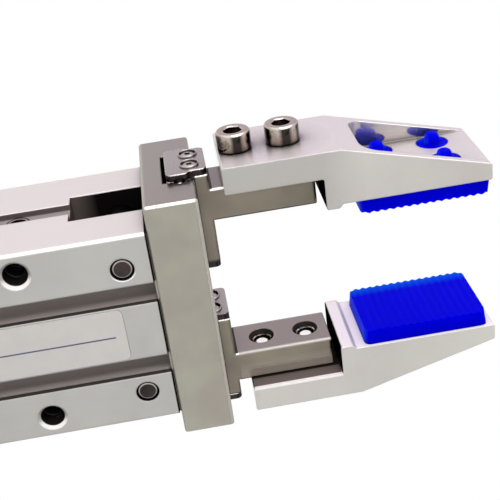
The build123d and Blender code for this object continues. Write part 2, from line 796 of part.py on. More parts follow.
# Pad: a slab with rounded ribs across its face and a stud at each corner
with BuildPart() as pad:
    face_x = pad_base - pad_thickness + rib_height
    first_rib = pad_start + pad_draft
    rib_pitch = (pad_length - 2 * pad_draft) / rib_count
    with BuildSketch(Plane.XZ) as pad_outline:
        with BuildLine():
            Polyline(
                (face_x, first_rib),
                (pad_base, pad_start),
                (pad_base, pad_end),
                (face_x, pad_end - pad_draft),
            )
            for rib in range(rib_count):
                rib_start = first_rib + rib * rib_pitch
                ThreePointArc(
                    (face_x, rib_start),
                    (face_x - rib_height, rib_start + rib_pitch / 2),
                    (face_x, rib_start + rib_pitch),
                )
        make_face()
    extrude(amount=pad_width / 2, both=True)
    # Slanted long edges
    with BuildSketch(Plane.XY.offset(pad_start)) as long_edges:
        for side in (-1, 1):
            with Locations((pad_base - pad_thickness, side * pad_width / 2)):
                Rectangle(2 * pad_edge, 2 * pad_edge, rotation=45)
    extrude(amount=pad_length, mode=Mode.SUBTRACT)
    with BuildSketch(Plane.YZ.offset(pad_base)) as rounded_plan:
        with Locations((0, (pad_start + pad_end) / 2)):
            RectangleRounded(pad_width, pad_length, pad_corner)
    extrude(amount=-pad_thickness, mode=Mode.INTERSECT)
    # Studs: a neck through the jaw, a disc in the counterbore and a round nub
    stud_plane = Plane((pad_base, 0, stud_middle), x_dir=(0, 0, 1), z_dir=(1, 0, 0))
    for start, radius, length in (
        (0, stud / 2, pocket_floor),
        (pocket_floor - stud_head_height, stud_head / 2, stud_head_height),
        (pocket_floor, stud_tail / 2, stud_tail_height),
    ):
        with Locations(stud_plane.offset(start)):
            with GridLocations(stud_spacing_z, stud_spacing_y, 2, 2):
                Cylinder(radius, length, align=upwards)
    fillet(pad.edges().group_by(Axis.X)[-1], stud_dome)

# The left pad is the same moulding, turned end for end about the middle of its studs
with BuildPart() as left_pad:
    add(pad.part.rotate(Axis((0, 0, stud_middle), (0, 1, 0)), 180))
save(pad, "pad_right")
save(left_pad, "pad_left")

# The other side pieces, with their mirror images for the left side
side_pieces = {
    "lever_pin": lever_pin,
    "lever": lever,
    "finger": finger,
    "outer_plate": outer_plate,
    "inner_plate": inner_plate,
    "plate_screws": plate_screws,
    "balls": balls,
    "jaw": jaw,
    "jaw_screws": jaw_screws,
}
for name, piece in side_pieces.items():
    save(piece, f"{name}_right")
    with BuildPart() as twin:
        mirror(piece.part, about=Plane.YZ)
    save(twin, f"{name}_left")
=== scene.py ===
import math

import bmesh
import bpy
from mathutils import Matrix, Vector


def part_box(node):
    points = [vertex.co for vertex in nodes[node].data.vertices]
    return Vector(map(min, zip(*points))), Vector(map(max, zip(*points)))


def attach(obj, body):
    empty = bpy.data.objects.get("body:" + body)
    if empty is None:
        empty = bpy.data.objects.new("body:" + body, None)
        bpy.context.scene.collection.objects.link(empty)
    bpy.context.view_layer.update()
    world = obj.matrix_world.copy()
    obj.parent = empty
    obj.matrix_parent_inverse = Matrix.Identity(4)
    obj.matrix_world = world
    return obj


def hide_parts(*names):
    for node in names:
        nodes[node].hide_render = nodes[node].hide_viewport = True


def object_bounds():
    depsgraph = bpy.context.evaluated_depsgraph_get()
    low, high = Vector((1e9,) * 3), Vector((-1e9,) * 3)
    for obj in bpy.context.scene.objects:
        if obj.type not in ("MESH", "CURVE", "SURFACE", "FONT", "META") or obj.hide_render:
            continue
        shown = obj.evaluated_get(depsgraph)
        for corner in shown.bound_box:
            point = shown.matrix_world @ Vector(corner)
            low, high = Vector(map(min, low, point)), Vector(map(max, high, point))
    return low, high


# Looks of the pneumatic parallel gripper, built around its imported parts.
# The frame is the CAD's: the origin is the centre of the rear mounting face, +Z is the way
# the fingers point and X is the way they travel. Sizes are written as millimetres times MM,
# and as plain millimetres in the tables of finishes, zones and turned pieces. The finishes'
# colours are written as they look on a screen, 0 to 255.
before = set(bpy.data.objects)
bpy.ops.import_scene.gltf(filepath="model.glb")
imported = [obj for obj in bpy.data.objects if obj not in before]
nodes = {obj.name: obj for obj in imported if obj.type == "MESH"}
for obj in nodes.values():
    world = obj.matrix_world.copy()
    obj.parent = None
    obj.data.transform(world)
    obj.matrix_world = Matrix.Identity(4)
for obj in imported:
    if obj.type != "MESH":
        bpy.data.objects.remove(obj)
cad_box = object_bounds()
scene = bpy.context.scene
MM = 0.001
SIDES = {"right": 1, "left": -1}
PAIR = (-1, 1)

# Places that the pieces below sit on, as the CAD has them
NARROW_FACE = 15.3 * MM
SIDE_BOLT_X = 12.0 * MM
SIDE_BOLT_Z = 24.1 * MM
REAR_BOLT_Y = 8.0 * MM
PORT_HEIGHTS = (8.2 * MM, 19.0006 * MM)
PLATE_SCREW_Y = 1.9 * MM
PLATE_SCREW_Z = 49.9 * MM
PAD_BASE = 12.35 * MM
JAW_OUTER = 20.6 * MM
FINGER_INNER = 11.6 * MM
SCREW_PITCH = 7.0 * MM
FIRST_SCREW = 56.75 * MM
JAW_SCREWS = (FIRST_SCREW, FIRST_SCREW + SCREW_PITCH)
JAW_SCREW_HEAD = 2.5 * MM
HEAD_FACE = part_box("guide_head")[1].z
SLIDER_TOP = HEAD_FACE + 1.9 * MM
BODY_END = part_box("body")[1].z

# Colours of painted shade and dark painted reflections that the metals share, and the shares of a
# diagonal
BLACK = (14, 12, 12)
CREVICE = (22, 19, 18)
DIAGONAL = 0.7071


# Steps in a node tree
def add(tree, kind, inputs=None, **settings):
    """A node with its settings, and each input given a value or a link."""
    node = tree.nodes.new(kind)
    for name, value in settings.items():
        setattr(node, name, value)
    for name, value in (inputs or {}).items():
        if isinstance(value, bpy.types.NodeSocket):
            tree.links.new(value, node.inputs[name])
        else:
            node.inputs[name].default_value = value
    return node


def calc(tree, operation, first, second=0.0, third=0.0):
    """One step of arithmetic."""
    inputs = {0: first, 1: second, 2: third}
    return add(tree, "ShaderNodeMath", inputs, operation=operation).outputs[0]


def spread(tree, value, low, high, to_low=0.0, to_high=1.0, smooth=False):
    """A value's range stretched to another range, and held at its ends."""
    inputs = {
        "Value": value,
        "From Min": low,
        "From Max": high,
        "To Min": to_low,
        "To Max": to_high,
    }
    shape = "SMOOTHSTEP" if smooth else "LINEAR"
    return add(tree, "ShaderNodeMapRange", inputs, interpolation_type=shape).outputs["Result"]


def split(tree, vector):
    """The X, Y and Z of a vector."""
    return add(tree, "ShaderNodeSeparateXYZ", {"Vector": vector}).outputs


def combine(tree, **parts):
    """A vector from its X, Y and Z, each 0 unless it is given."""
    return add(tree, "ShaderNodeCombineXYZ", parts).outputs[0]


def length_of(tree, vector):
    """How long a vector is."""
    return add(tree, "ShaderNodeVectorMath", {0: vector}, operation="LENGTH").outputs["Value"]


def blend_colour(tree, share, first, second):
    """A mix of two colours, by a share from 0 to 1."""
    inputs = {0: share, 6: first, 7: second}
    return add(tree, "ShaderNodeMix", inputs, data_type="RGBA").outputs[2]


def noise(tree, places, scale, detail=4.0, stretch=(1, 1, 1)):
    """Noise over the piece's own coordinates, drawn out by stretch."""
    mapped = add(tree, "ShaderNodeMapping", {"Vector": places, "Scale": stretch}).outputs[0]
    inputs = {"Vector": mapped, "Scale": scale, "Detail": detail, "Roughness": 0.55}
    return add(tree, "ShaderNodeTexNoise", inputs).outputs["Fac"]


def mottled(tree, pattern, first, second):
    """Two colours in soft patches that follow a noise."""
    return blend_colour(tree, spread(tree, pattern, 0.35, 0.65), first, second)


def uneven(tree, pattern, low, high):
    """A value that goes from low to high with a noise."""
    return spread(tree, pattern, 0.3, 0.7, low, high)


def own_normal(tree):
    """The X, Y and Z of the way that a face looks, in the piece's own frame."""
    return split(tree, tree.nodes.new("ShaderNodeTexCoord").outputs["Normal"])


def open_air(tree, reach):
    """The share of open air within a reach in millimetres, low inside recesses."""
    inputs = {"Distance": reach * MM}
    return add(tree, "ShaderNodeAmbientOcclusion", inputs, samples=6).outputs["AO"]


def skin_bump(tree, shader, height, strength, depth):
    """A skin that rises and falls by a depth in millimetres."""
    inputs = {"Strength": strength, "Distance": depth * MM, "Height": height}
    tree.links.new(add(tree, "ShaderNodeBump", inputs).outputs["Normal"], shader.inputs["Normal"])


# Finishes
def linear(colour):
    """The shader's linear colour for a colour as it looks on a screen."""
    shares = [value / 255 for value in colour]
    values = [
        share / 12.92 if share <= 0.04045 else ((share + 0.055) / 1.055) ** 2.4
        for share in shares
    ]
    return (*values, 1.0)


def scaled(colour, factor, lift=0.0):
    """A linear colour made darker or lighter."""
    return (*(min(1.0, value * factor + lift) for value in colour[:3]), 1.0)


def start_finish(name, colour, metal, gloss, **extra):
    """A material with its shader's even values set, and the parts that a finish builds on."""
    material = bpy.data.materials.new(name)
    material.use_nodes = True
    material.diffuse_color = colour
    tree = material.node_tree
    shader = tree.nodes["Principled BSDF"]
    shader.inputs["Base Color"].default_value = colour
    shader.inputs["Metallic"].default_value = metal
    shader.inputs["Roughness"].default_value = gloss
    for socket, value in extra.items():
        shader.inputs[socket.replace("_", " ")].default_value = value
    places = tree.nodes.new("ShaderNodeTexCoord").outputs["Object"]
    return material, tree, shader, places


def painted_edge_light(tree, radius):
    """A rounded normal for sharp edges, and masks that are 1 on bright and on dark edges: along
    Z, those between -X and -Y or +X and +Y get a painted highlight, and the other two painted
    shade."""
    rounded = add(tree, "ShaderNodeBevel", {"Radius": radius}, samples=6).outputs["Normal"]
    masks = []
    for way in ((DIAGONAL, DIAGONAL, 0), (DIAGONAL, -DIAGONAL, 0)):
        along = add(tree, "ShaderNodeVectorMath", {0: rounded, 1: way}, operation="DOT_PRODUCT")
        along = calc(tree, "ABSOLUTE", along.outputs["Value"])
        masks.append(spread(tree, along, 0.8, 0.92))
    return rounded, *masks


def zone(tree, places, share=1.0, about=None, reach=(0, 1), facing=None, fade=None, **spans):
    """A share inside a block or a ring and 0 outside it. X and Y count both ways from the
    middle, and x counts one way. A ring lies about an axis, and reach says from where to where
    off that axis. Where facing names an axis, only faces that look along it count. fade names
    an axis, where the share starts to fade and where it ends."""
    soft_edge = 0.03
    spot = split(tree, places)

    def along(axis):
        value = spot[axis.upper()]
        return calc(tree, "ABSOLUTE", value) if axis in "XY" else value

    values = [(along(axis), span) for axis, span in spans.items()]
    if about:
        off = {axis: calc(tree, "SUBTRACT", along(axis), at * MM) for axis, at in about.items()}
        values.append((length_of(tree, combine(tree, **off)), reach))
    result = share
    for value, (low, high) in values:
        off = calc(tree, "ABSOLUTE", calc(tree, "SUBTRACT", value, (low + high) / 2 * MM))
        half = (high - low) / 2
        inside = spread(tree, off, (half + soft_edge) * MM, (half - soft_edge) * MM)
        result = calc(tree, "MULTIPLY", result, inside)
    if fade:
        axis, start, end = fade
        faded = spread(tree, along(axis), start * MM, end * MM, 1.0, 0.0)
        result = calc(tree, "MULTIPLY", result, faded)
    if facing:
        aligned = spread(tree, calc(tree, "ABSOLUTE", own_normal(tree)[facing]), 0.8, 0.9)
        result = calc(tree, "MULTIPLY", result, aligned)
    return result


def screw_reflection_bands(tree, places):
    """Painted reflections: dark bands down the sides of the jaw screws' heads, which lie one
    pitch
    apart: one a little off the middle and one at each end, as a polished round head shows its
    room."""
    spot = split(tree, places)
    start = (FIRST_SCREW - SCREW_PITCH / 2) / SCREW_PITCH
    pitches = calc(tree, "DIVIDE", spot["Z"], SCREW_PITCH)
    step = calc(tree, "FRACT", calc(tree, "SUBTRACT", pitches, start))
    half = JAW_SCREW_HEAD / SCREW_PITCH
    across = spread(tree, step, 0.5 - half, 0.5 + half, -1.0, 1.0)
    off_band = calc(tree, "ABSOLUTE", calc(tree, "SUBTRACT", across, 0.12))
    middle = spread(tree, off_band, 0.2, 0.42, 0.93, 0.0)
    ends = spread(tree, calc(tree, "ABSOLUTE", across), 0.7, 0.82, 0.0, 0.88)
    radial = combine(tree, X=calc(tree, "MULTIPLY", across, JAW_SCREW_HEAD), Y=spot["Y"])
    side = spread(
        tree, length_of(tree, radial), JAW_SCREW_HEAD - 0.08 * MM, JAW_SCREW_HEAD - 0.02 * MM
    )
    return calc(tree, "MULTIPLY", calc(tree, "MAXIMUM", middle, ends), side)


def metal_finish(
    name,
    colour,
    gloss,
    metal=1.0,
    grain=(1, 1, 1),
    mottle=0.06,
    second=None,
    edge=None,
    dim_edge=None,
    edge_past=("Y", 0.0),
    edge_round=0.12,
    recess=(30, 26, 25),
    shades=((10, 0.3, 0.1, 0.62),),
    side_faces=None,
    x_faces=None,
    bands=None,
    zones=None,
    polished_recess=False,
):
    """A worked metal: grain drawn out one way, soft mottling, painted highlights on edges and
    painted shade in recesses. side_faces is the colour of the faces that don't look along X, and
    x_faces a tone painted for those that do, lighter or darker as light falls on them. Edges
    nearer to the middle than edge_past along its axis stay as they are. Each shade is the reach
    of a recess, how dark its painted shade gets and the share of open air from where it starts
    to be dark up to where it ends. bands is a function of the tree and its coordinates, 1 where
    a dark reflection is painted on the metal. Each zone is a colour and what the function zone
    takes: painted shade, painted highlights and tones painted over shade and reflections. It is
    painted, so it is neither bare metal nor shiny. polished_recess makes the walls of the jaws'
    pockets reflect, by the open air of the last shade."""
    colour = linear(colour)
    material, tree, shader, places = start_finish(name, colour, metal, gloss)
    # Rounded normals, and masks for painted highlights and painted shade on the edges
    rounded, bright, dim = painted_edge_light(tree, edge_round * MM)
    patches = noise(tree, places, 130, detail=2.0)
    fibres = noise(tree, places, 2500, detail=3.0, stretch=grain)
    tone = mottled(tree, patches, colour, linear(second) if second else colour)
    fine = uneven(tree, fibres, 1 - mottle, 1 + mottle)
    tone = add(tree, "ShaderNodeVectorMath", {0: tone, 3: fine}, operation="SCALE").outputs[0]
    along_x = calc(tree, "ABSOLUTE", own_normal(tree)["X"])
    if side_faces:
        tone = blend_colour(tree, spread(tree, along_x, 0.5, 0.3), tone, linear(side_faces))
    # Painted light: the faces that look along X take a lighter or darker tone, as light falls on
    # them
    if x_faces:
        tone = blend_colour(tree, spread(tree, along_x, 0.75, 0.9), tone, linear(x_faces))
    axis, past = edge_past
    off_middle = calc(tree, "ABSOLUTE", split(tree, places)[axis])
    outer = spread(tree, off_middle, past * MM, (past + 0.2) * MM)
    # Painted highlights on the bright edges and painted shade on the dim ones, past edge_past
    for mask, edge_paint in ((bright, edge), (dim, dim_edge)):
        if edge_paint:
            tone = blend_colour(tree, calc(tree, "MULTIPLY", mask, outer), tone, linear(edge_paint))
    # Painted shade: recesses, corners and gaps darken towards the recess colour by their open air
    for reach, share, low, high in shades:
        air = open_air(tree, reach)
        depth = recess if reach > 1 else CREVICE
        tone = blend_colour(tree, spread(tree, air, low, high, share, 0.0), tone, linear(depth))
    # Painted reflections: dark bands where bands gives 1
    if bands:
        tone = blend_colour(tree, bands(tree, places), tone, linear(BLACK))
    # Painted shade, painted highlights and tones painted over shade and reflections, zone by
    # zone; each also dulls the metal
    clear = 1.0
    for paint, block in (zones or {}).values():
        mask = zone(tree, places, **block)
        tone = blend_colour(tree, mask, tone, linear(paint))
        clear = calc(tree, "MULTIPLY", clear, calc(tree, "SUBTRACT", 1.0, mask))
    tree.links.new(tone, shader.inputs["Base Color"])
    rub = uneven(tree, fibres, gloss * 0.92, gloss * 1.08)
    bare = metal
    if polished_recess:
        pocket = zone(tree, places, X=(15.0, 25.0))
        enclosed = calc(tree, "MULTIPLY", spread(tree, air, 0.95, 0.65), pocket)
        rub = calc(tree, "MULTIPLY", rub, spread(tree, enclosed, 0.0, 1.0, 1.0, 0.2))
        bare = spread(tree, enclosed, 0.0, 1.0, metal, 0.95)
    if zones:
        bare = calc(tree, "MULTIPLY", clear, bare)
        tree.links.new(bare, shader.inputs["Metallic"])
        sheen = calc(tree, "MULTIPLY", clear, 0.5)
        tree.links.new(sheen, shader.inputs["Specular IOR Level"])
    tree.links.new(rub, shader.inputs["Roughness"])
    tree.links.new(rounded, shader.inputs["Normal"])
    return material


def rubber_finish(name, colour, gloss=0.6, speckle=0.15):
    """Moulded rubber: matt, with a fine uneven skin."""
    colour = linear(colour)
    material, tree, shader, places = start_finish(name, colour, 0.0, gloss)
    skin = noise(tree, places, 1800, detail=5.0)
    dark, light = scaled(colour, 1 - speckle), scaled(colour, 1 + speckle, 0.004)
    tree.links.new(mottled(tree, skin, dark, light), shader.inputs["Base Color"])
    rub = uneven(tree, skin, gloss * 0.9, gloss * 1.1)
    tree.links.new(rub, shader.inputs["Roughness"])
    skin_bump(tree, shader, skin, 0.25, 0.02)
    return material


def silicone_finish(name, colour, far_edge, end_face, base):
    """Cast silicone that light soaks through, so that its skin hardly shades; it also glows a
    little in its own colour, a painted light. It has painted light along the far edge and the
    near end, and painted shade where it meets the jaw."""
    soak_and_glow = {
        "Subsurface_Weight": 1.0,
        "Subsurface_Scale": 3 * MM,
        "Specular_IOR_Level": 0.02,
        "Emission_Strength": 0.5,
    }
    colour = linear(colour)
    material, tree, shader, places = start_finish(name, colour, 0.0, 0.5, **soak_and_glow)
    shader.inputs["Subsurface Radius"].default_value = (0.1, 0.3, 1.0)
    cloud = noise(tree, places, 160, detail=2.0)
    tone = mottled(tree, cloud, scaled(colour, 0.95), colour)
    # Painted light along the far edge
    height = split(tree, places)["Y"]
    far = spread(tree, height, 4.0 * MM, 6.3 * MM, 0.0, 0.9)
    tone = blend_colour(tree, far, tone, linear(far_edge))
    # The ribs are shaded as if they were flatter: faces that mostly look along X look more so
    normal = own_normal(tree)
    pull = spread(tree, calc(tree, "ABSOLUTE", normal["X"]), 0.5, 0.8, 0.0, 3.0)
    pull = calc(tree, "MULTIPLY", pull, calc(tree, "SIGN", normal["X"]))
    level = combine(tree, X=calc(tree, "ADD", pull, normal["X"]), Y=normal["Y"], Z=normal["Z"])
    level = add(tree, "ShaderNodeVectorMath", {0: level}, operation="NORMALIZE").outputs[0]
    turn = {"vector_type": "NORMAL", "convert_from": "OBJECT", "convert_to": "WORLD"}
    level = add(tree, "ShaderNodeVectorTransform", {"Vector": level}, **turn).outputs[0]
    tree.links.new(level, shader.inputs["Normal"])
    # Painted light on the near end
    near_end = spread(tree, normal["Z"], -0.5, -0.9, 0.0, 0.8)
    tone = blend_colour(tree, near_end, tone, linear(end_face))
    # Painted shade at the foot, where the pad meets the jaw
    foot = spread(tree, open_air(tree, 0.7), 0.5, 0.8, 0.85, 0.0)
    tone = blend_colour(tree, foot, tone, linear(base))
    tree.links.new(tone, shader.inputs["Base Color"])
    # The tone also glows, as a painted light
    tree.links.new(tone, shader.inputs["Emission Color"])
    rub = uneven(tree, noise(tree, places, 1500, detail=4.0), 0.45, 0.55)
    tree.links.new(rub, shader.inputs["Roughness"])
    return material


def film_finish(name, colour, line_colour, line_x=0.2, line_half=0.09, line_end=35.6):
    """The bare label: a thin plastic film with one printed line along it."""
    colour = linear(colour)
    material, tree, shader, places = start_finish(name, colour, 0.0, 0.32)
    spot = split(tree, places)
    off_line = calc(tree, "ABSOLUTE", calc(tree, "SUBTRACT", spot["X"], line_x * MM))
    line = spread(tree, off_line, line_half * MM, (line_half + 0.05) * MM, 1.0, 0.0)
    within = spread(tree, spot["Z"], line_end * MM, (line_end + 0.2) * MM, 1.0, 0.0)
    printed = calc(tree, "MULTIPLY", calc(tree, "MULTIPLY", line, within), 0.92)
    cloud = noise(tree, places, 260, detail=3.0)
    tone = mottled(tree, cloud, scaled(colour, 0.95), colour)
    tone = blend_colour(tree, printed, tone, linear(line_colour))
    tree.links.new(tone, shader.inputs["Base Color"])
    skin = noise(tree, places, 900, detail=3.0)
    tree.links.new(uneven(tree, skin, 0.28, 0.4), shader.inputs["Roughness"])
    skin_bump(tree, shader, skin, 0.15, 0.01)
    return material


# Zones with a painted colour of their own: painted shade in channels, holes, gaps and joints,
# painted highlights on rims and edges, tones painted over shade and reflections, and matt linings
body_top, head_top, slider_top = BODY_END / MM, HEAD_FACE / MM, SLIDER_TOP / MM
side_bolt = {"X": SIDE_BOLT_X / MM, "Z": SIDE_BOLT_Z / MM}
lock_hole = {"Y": 0, "Z": SIDE_BOLT_Z / MM}
pin = {"X": 10.3, "Z": body_top - 4.0}
first_screw, second_screw = [{"Y": 0, "Z": height / MM} for height in JAW_SCREWS]
behind_channel = (-1, 31.6)
channel = (31.64, 60)
side_floor = (-14.6, -14.2)
face_skin = (10.9, 11.77)
arm = (slider_top + 0.5, 90)
hook = slider_top + 15.9
# Painted shade: black in the lever channel, the side bolt holes, the gaps round the pins, on the
# top grooves' lips and at the joint with the head; a dark wall and a darker floor in the side
# groove; a dark rim and a black mouth for the lock hole; the channel less dark at its foot.
# Painted highlights: the light on the holes' rims and the left pin's rim. The groove lining is a
# flat, matt colour.
body_zones = {
    "groove lining": ((168, 159, 154), dict(share=0.96, X=(3.8, 8.2), Y=(6.5, 11.75))),
    "groove's inner lip": (BLACK, dict(share=0.9, X=(4.3, 4.5), Y=(10.8, 11.74))),
    "groove's outer lip": (BLACK, dict(share=0.9, X=(7.5, 7.7), Y=(10.8, 11.74))),
    "side groove's wall": (
        (82, 72, 73), dict(share=0.95, X=(14.2, 15.24), Y=(1.64, 1.8), Z=behind_channel),
    ),
    "side groove's floor": (
        (142, 132, 133), dict(share=0.95, X=(14.2, 14.6), Y=(0, 1.64), Z=behind_channel),
    ),
    "lock hole's rim": (
        (60, 50, 50), dict(share=0.9, about=lock_hole, reach=(1.5, 1.8), x=side_floor),
    ),
    "lock hole's mouth": (BLACK, dict(about=lock_hole, reach=(0, 1.25), x=side_floor)),
    "lever channel": (BLACK, dict(X=(0, 15.15), Y=(0, 4.25), Z=channel)),
    "lever channel's foot": (
        (88, 80, 76), dict(X=(0, 15.1), Y=(0, 4.25), Z=channel, fade=("Z", 32.5, 35.5)),
    ),
    "side bolt holes": (BLACK, dict(share=0.97, about=side_bolt, reach=(0, 1.76), Y=(0, 11.35))),
    "light on the left hole's rim": (
        (236, 232, 228),
        dict(
            about=side_bolt, reach=(1.76, 2.3), x=(-11.9, -9.0), Y=face_skin,
            fade=("x", -11.0, -11.8),
        ),
    ),
    "light on the right hole's rim": (
        (236, 232, 228),
        dict(
            about=side_bolt, reach=(1.76, 2.3), x=(12.1, 15.0), Y=face_skin,
            fade=("x", 13.0, 12.2),
        ),
    ),
    "gap round the pins": (BLACK, dict(about=pin, reach=(1.4, 1.74), Y=(0, 11.75))),
    "light on the left pin's rim": (
        (248, 244, 242),
        dict(about=pin, reach=(1.74, 1.9), x=(-9.9, -8.0), fade=("x", -9.0, -9.8)),
    ),
    "joint with the head": (BLACK, dict(Z=(body_top - 0.14, body_top + 1))),
}
# Painted shade in the gap round the pins, and a painted highlight on their chamfer
pin_zones = {
    "gap round the pins": (BLACK, dict(about=pin, reach=(1.36, 1.8))),
    "chamfer": ((176, 168, 164), dict(about=pin, reach=(1.2, 1.36))),
}
# Painted tones: matt bands in the faces' lit tones over the front edge and the faces' foot, in
# place of their painted shade and their reflections
head_foot = dict(share=0.85, Z=(body_top - 0.1, body_top + 0.5))
head_zones = {
    "front edge": (
        (186, 181, 171), dict(share=0.85, Y=(11.4, 14.0), Z=(head_top - 0.45, head_top + 0.1)),
    ),
    "wide faces' foot": ((162, 157, 146), dict(Y=(11.5, 14.0), **head_foot)),
    "narrow faces' foot": ((162, 157, 146), dict(X=(18.6, 20.0), **head_foot)),
}
# Painted shade: black in the gap in the head, at the arm's foot and in the screw holes. Painted
# tones over the right finger's inner edge, dimming its painted highlight, and over its side by
# the jaw, in place of a dark reflection.
finger_zones = {
    "right finger's inner edge": (
        (150, 144, 136), dict(share=0.65, x=(11.4, 12.1), Y=(3.5, 4.1), Z=arm),
    ),
    "right finger's side, by the jaw": (
        (156, 146, 138),
        dict(share=0.65, facing="Y", x=(11.4, 16.25), Z=arm, fade=("X", 15.6, 13.4)),
    ),
    "gap in the head": (BLACK, dict(share=0.9, Z=(head_top - 2, head_top + 0.12))),
    "arm's foot": (BLACK, dict(share=0.9, facing="X", Z=(slider_top, slider_top + 0.4))),
    "first hole": (BLACK, dict(share=0.95, about=first_screw, reach=(0, 2.0))),
    "second hole": (BLACK, dict(share=0.95, about=second_screw, reach=(0, 2.0))),
}
# Painted highlights on the screws' tips, seen in the finger's holes
screw_tip = dict(share=0.95, facing="X", reach=(0, 1.05), X=(11, 15))
screw_zones = {
    "first tip": ((250, 248, 246), dict(about=first_screw, **screw_tip)),
    "second tip": ((250, 248, 246), dict(about=second_screw, **screw_tip)),
}
# Painted shade on the left jaw's side and black in the gaps under the right finger and before the
# hook; painted light on the right jaw's side and lip; a painted dark reflection on the right
# jaw's seat and a painted highlight on its edge.
jaw_zones = {
    "left jaw's side, shaded to its middle": (
        (172, 170, 166),
        dict(
            share=0.75, facing="Y", x=(-30, -9), Z=(40, 90),
            fade=("Z", slider_top + 16, slider_top + 22),
        ),
    ),
    "right jaw's side, lit towards its tip": (
        (221, 225, 214),
        dict(
            share=0.7, facing="Y", x=(9, 30), Z=(40, 93),
            fade=("Z", slider_top + 46, slider_top + 22),
        ),
    ),
    "right jaw's lip": ((244, 232, 237), dict(share=0.8, facing="X", x=(11, 12.5))),
    "right jaw's seat": (
        (88, 74, 69), dict(share=0.85, facing="X", x=(16.3, 16.9), Y=(0, 6.4)),
    ),
    "gap under the right finger": (
        BLACK, dict(share=0.9, facing="X", x=(16.3, 16.9), Y=(0, 4.25)),
    ),
    "right seat's edge": (
        (246, 240, 238), dict(share=0.9, x=(16.4, 16.95), Y=(6.4, 7.1), Z=(40, hook)),
    ),
    "gap before the hook": (BLACK, dict(X=(11.6, 16.6), Y=(0, 6.93), Z=(hook, hook + 0.22))),
}

ALONG_X = (0.04, 1, 1)
ALONG_Z = (1, 1, 0.04)
# In these finishes, x_faces is a tone painted as light falls on the faces that look along X, edge
# a painted highlight, dim_edge and recess colours of painted shade, and bands painted
# reflections; the zones hold more painted light and shade.
metals = {
    "anodised_body": dict(
        colour=(184, 183, 178), second=(180, 177, 173), x_faces=(207, 198, 199), gloss=0.4,
        metal=0.35, grain=ALONG_Z, mottle=0.012, edge=(252, 248, 248), edge_round=0.4,
        edge_past=("X", 14.4), recess=(60, 52, 48),
        shades=((10, 0.9, 0.15, 0.66), (0.8, 0.95, 0.5, 0.8)), zones=body_zones,
    ),
    "anodised_jaw": dict(
        colour=(207, 204, 198), second=(203, 198, 193), x_faces=(198, 189, 191), gloss=0.32,
        metal=0.2, mottle=0.008, edge=(250, 245, 245), edge_round=0.25, recess=(58, 46, 46),
        shades=((1.6, 0.9, 0.45, 0.8), (5, 0.55, 0.3, 0.88)), zones=jaw_zones,
        polished_recess=True,
    ),
    "ground_steel": dict(
        colour=(170, 168, 155), second=(163, 157, 147), x_faces=(166, 160, 152), gloss=0.24,
        grain=ALONG_X, mottle=0.012, edge=(252, 246, 242), edge_round=0.3,
        edge_past=("Y", 10.5), shades=((8, 0.6, 0.15, 0.65), (0.6, 0.95, 0.45, 0.8)),
        zones=head_zones,
    ),
    "finger_steel": dict(
        colour=(143, 136, 121), second=(129, 120, 109), x_faces=(160, 152, 146), gloss=0.22,
        grain=ALONG_Z, mottle=0.012, edge=(252, 248, 246), dim_edge=(66, 66, 62),
        edge_round=0.5, edge_past=("Y", 3.0),
        shades=((8, 0.35, 0.15, 0.7), (0.5, 0.9, 0.4, 0.75)), zones=finger_zones,
    ),
    "end_plate_steel": dict(
        colour=(182, 177, 172), second=(174, 167, 165), side_faces=(62, 55, 56), gloss=0.28,
        mottle=0.02, edge=(235, 228, 228), edge_round=0.3, edge_past=("X", 15.0),
        shades=((0.6, 0.9, 0.4, 0.7),),
    ),
    "cover_aluminium": dict(colour=(200, 198, 194), gloss=0.38),
    "piston_aluminium": dict(colour=(206, 205, 202), gloss=0.33),
    "screw_steel": dict(
        colour=(186, 173, 162), gloss=0.13, mottle=0.02, edge=(232, 222, 214), edge_round=0.07,
        recess=(44, 31, 26), shades=((2.2, 0.75, 0.3, 0.85), (0.6, 0.8, 0.4, 0.8)),
        bands=screw_reflection_bands, zones=screw_zones,
    ),
    "plate_screw_steel": dict(
        colour=(184, 177, 175), gloss=0.28, edge=(222, 214, 212), edge_round=0.05,
        shades=((0.45, 0.97, 0.55, 0.85),),
    ),
    "pin_steel": dict(
        colour=(76, 68, 66), second=(54, 48, 48), gloss=0.4, mottle=0.15,
        shades=((0.3, 0.9, 0.4, 0.7),), zones=pin_zones,
    ),
    "black_steel": dict(colour=(40, 38, 40), gloss=0.42, shades=((10, 0.5, 0.1, 0.6),)),
    "black_screw_steel": dict(colour=(66, 63, 62), gloss=0.36),
    "spring_steel": dict(colour=(120, 116, 112), gloss=0.3),
    "rod_chrome": dict(
        colour=(205, 205, 208), gloss=0.1, mottle=0.02, shades=((10, 0.95, 0.1, 0.6),),
    ),
    "ball_steel": dict(colour=(222, 222, 224), gloss=0.06, mottle=0.02),
}
finishes = {name: metal_finish(name, **look) for name, look in metals.items()}
finishes["magnet_compound"] = rubber_finish("magnet_compound", (66, 62, 62), 0.5, 0.3)
finishes["black_rubber"] = rubber_finish("black_rubber", (34, 34, 35))
finishes["bumper_rubber"] = rubber_finish("bumper_rubber", (62, 62, 65))
finishes["label_film"] = film_finish("label_film", (200, 196, 192), (36, 42, 92))
finishes["blue_silicone"] = silicone_finish(
    "blue_silicone", (0, 0, 174), far_edge=(0, 68, 186), end_face=(10, 36, 188), base=(0, 0, 46)
)

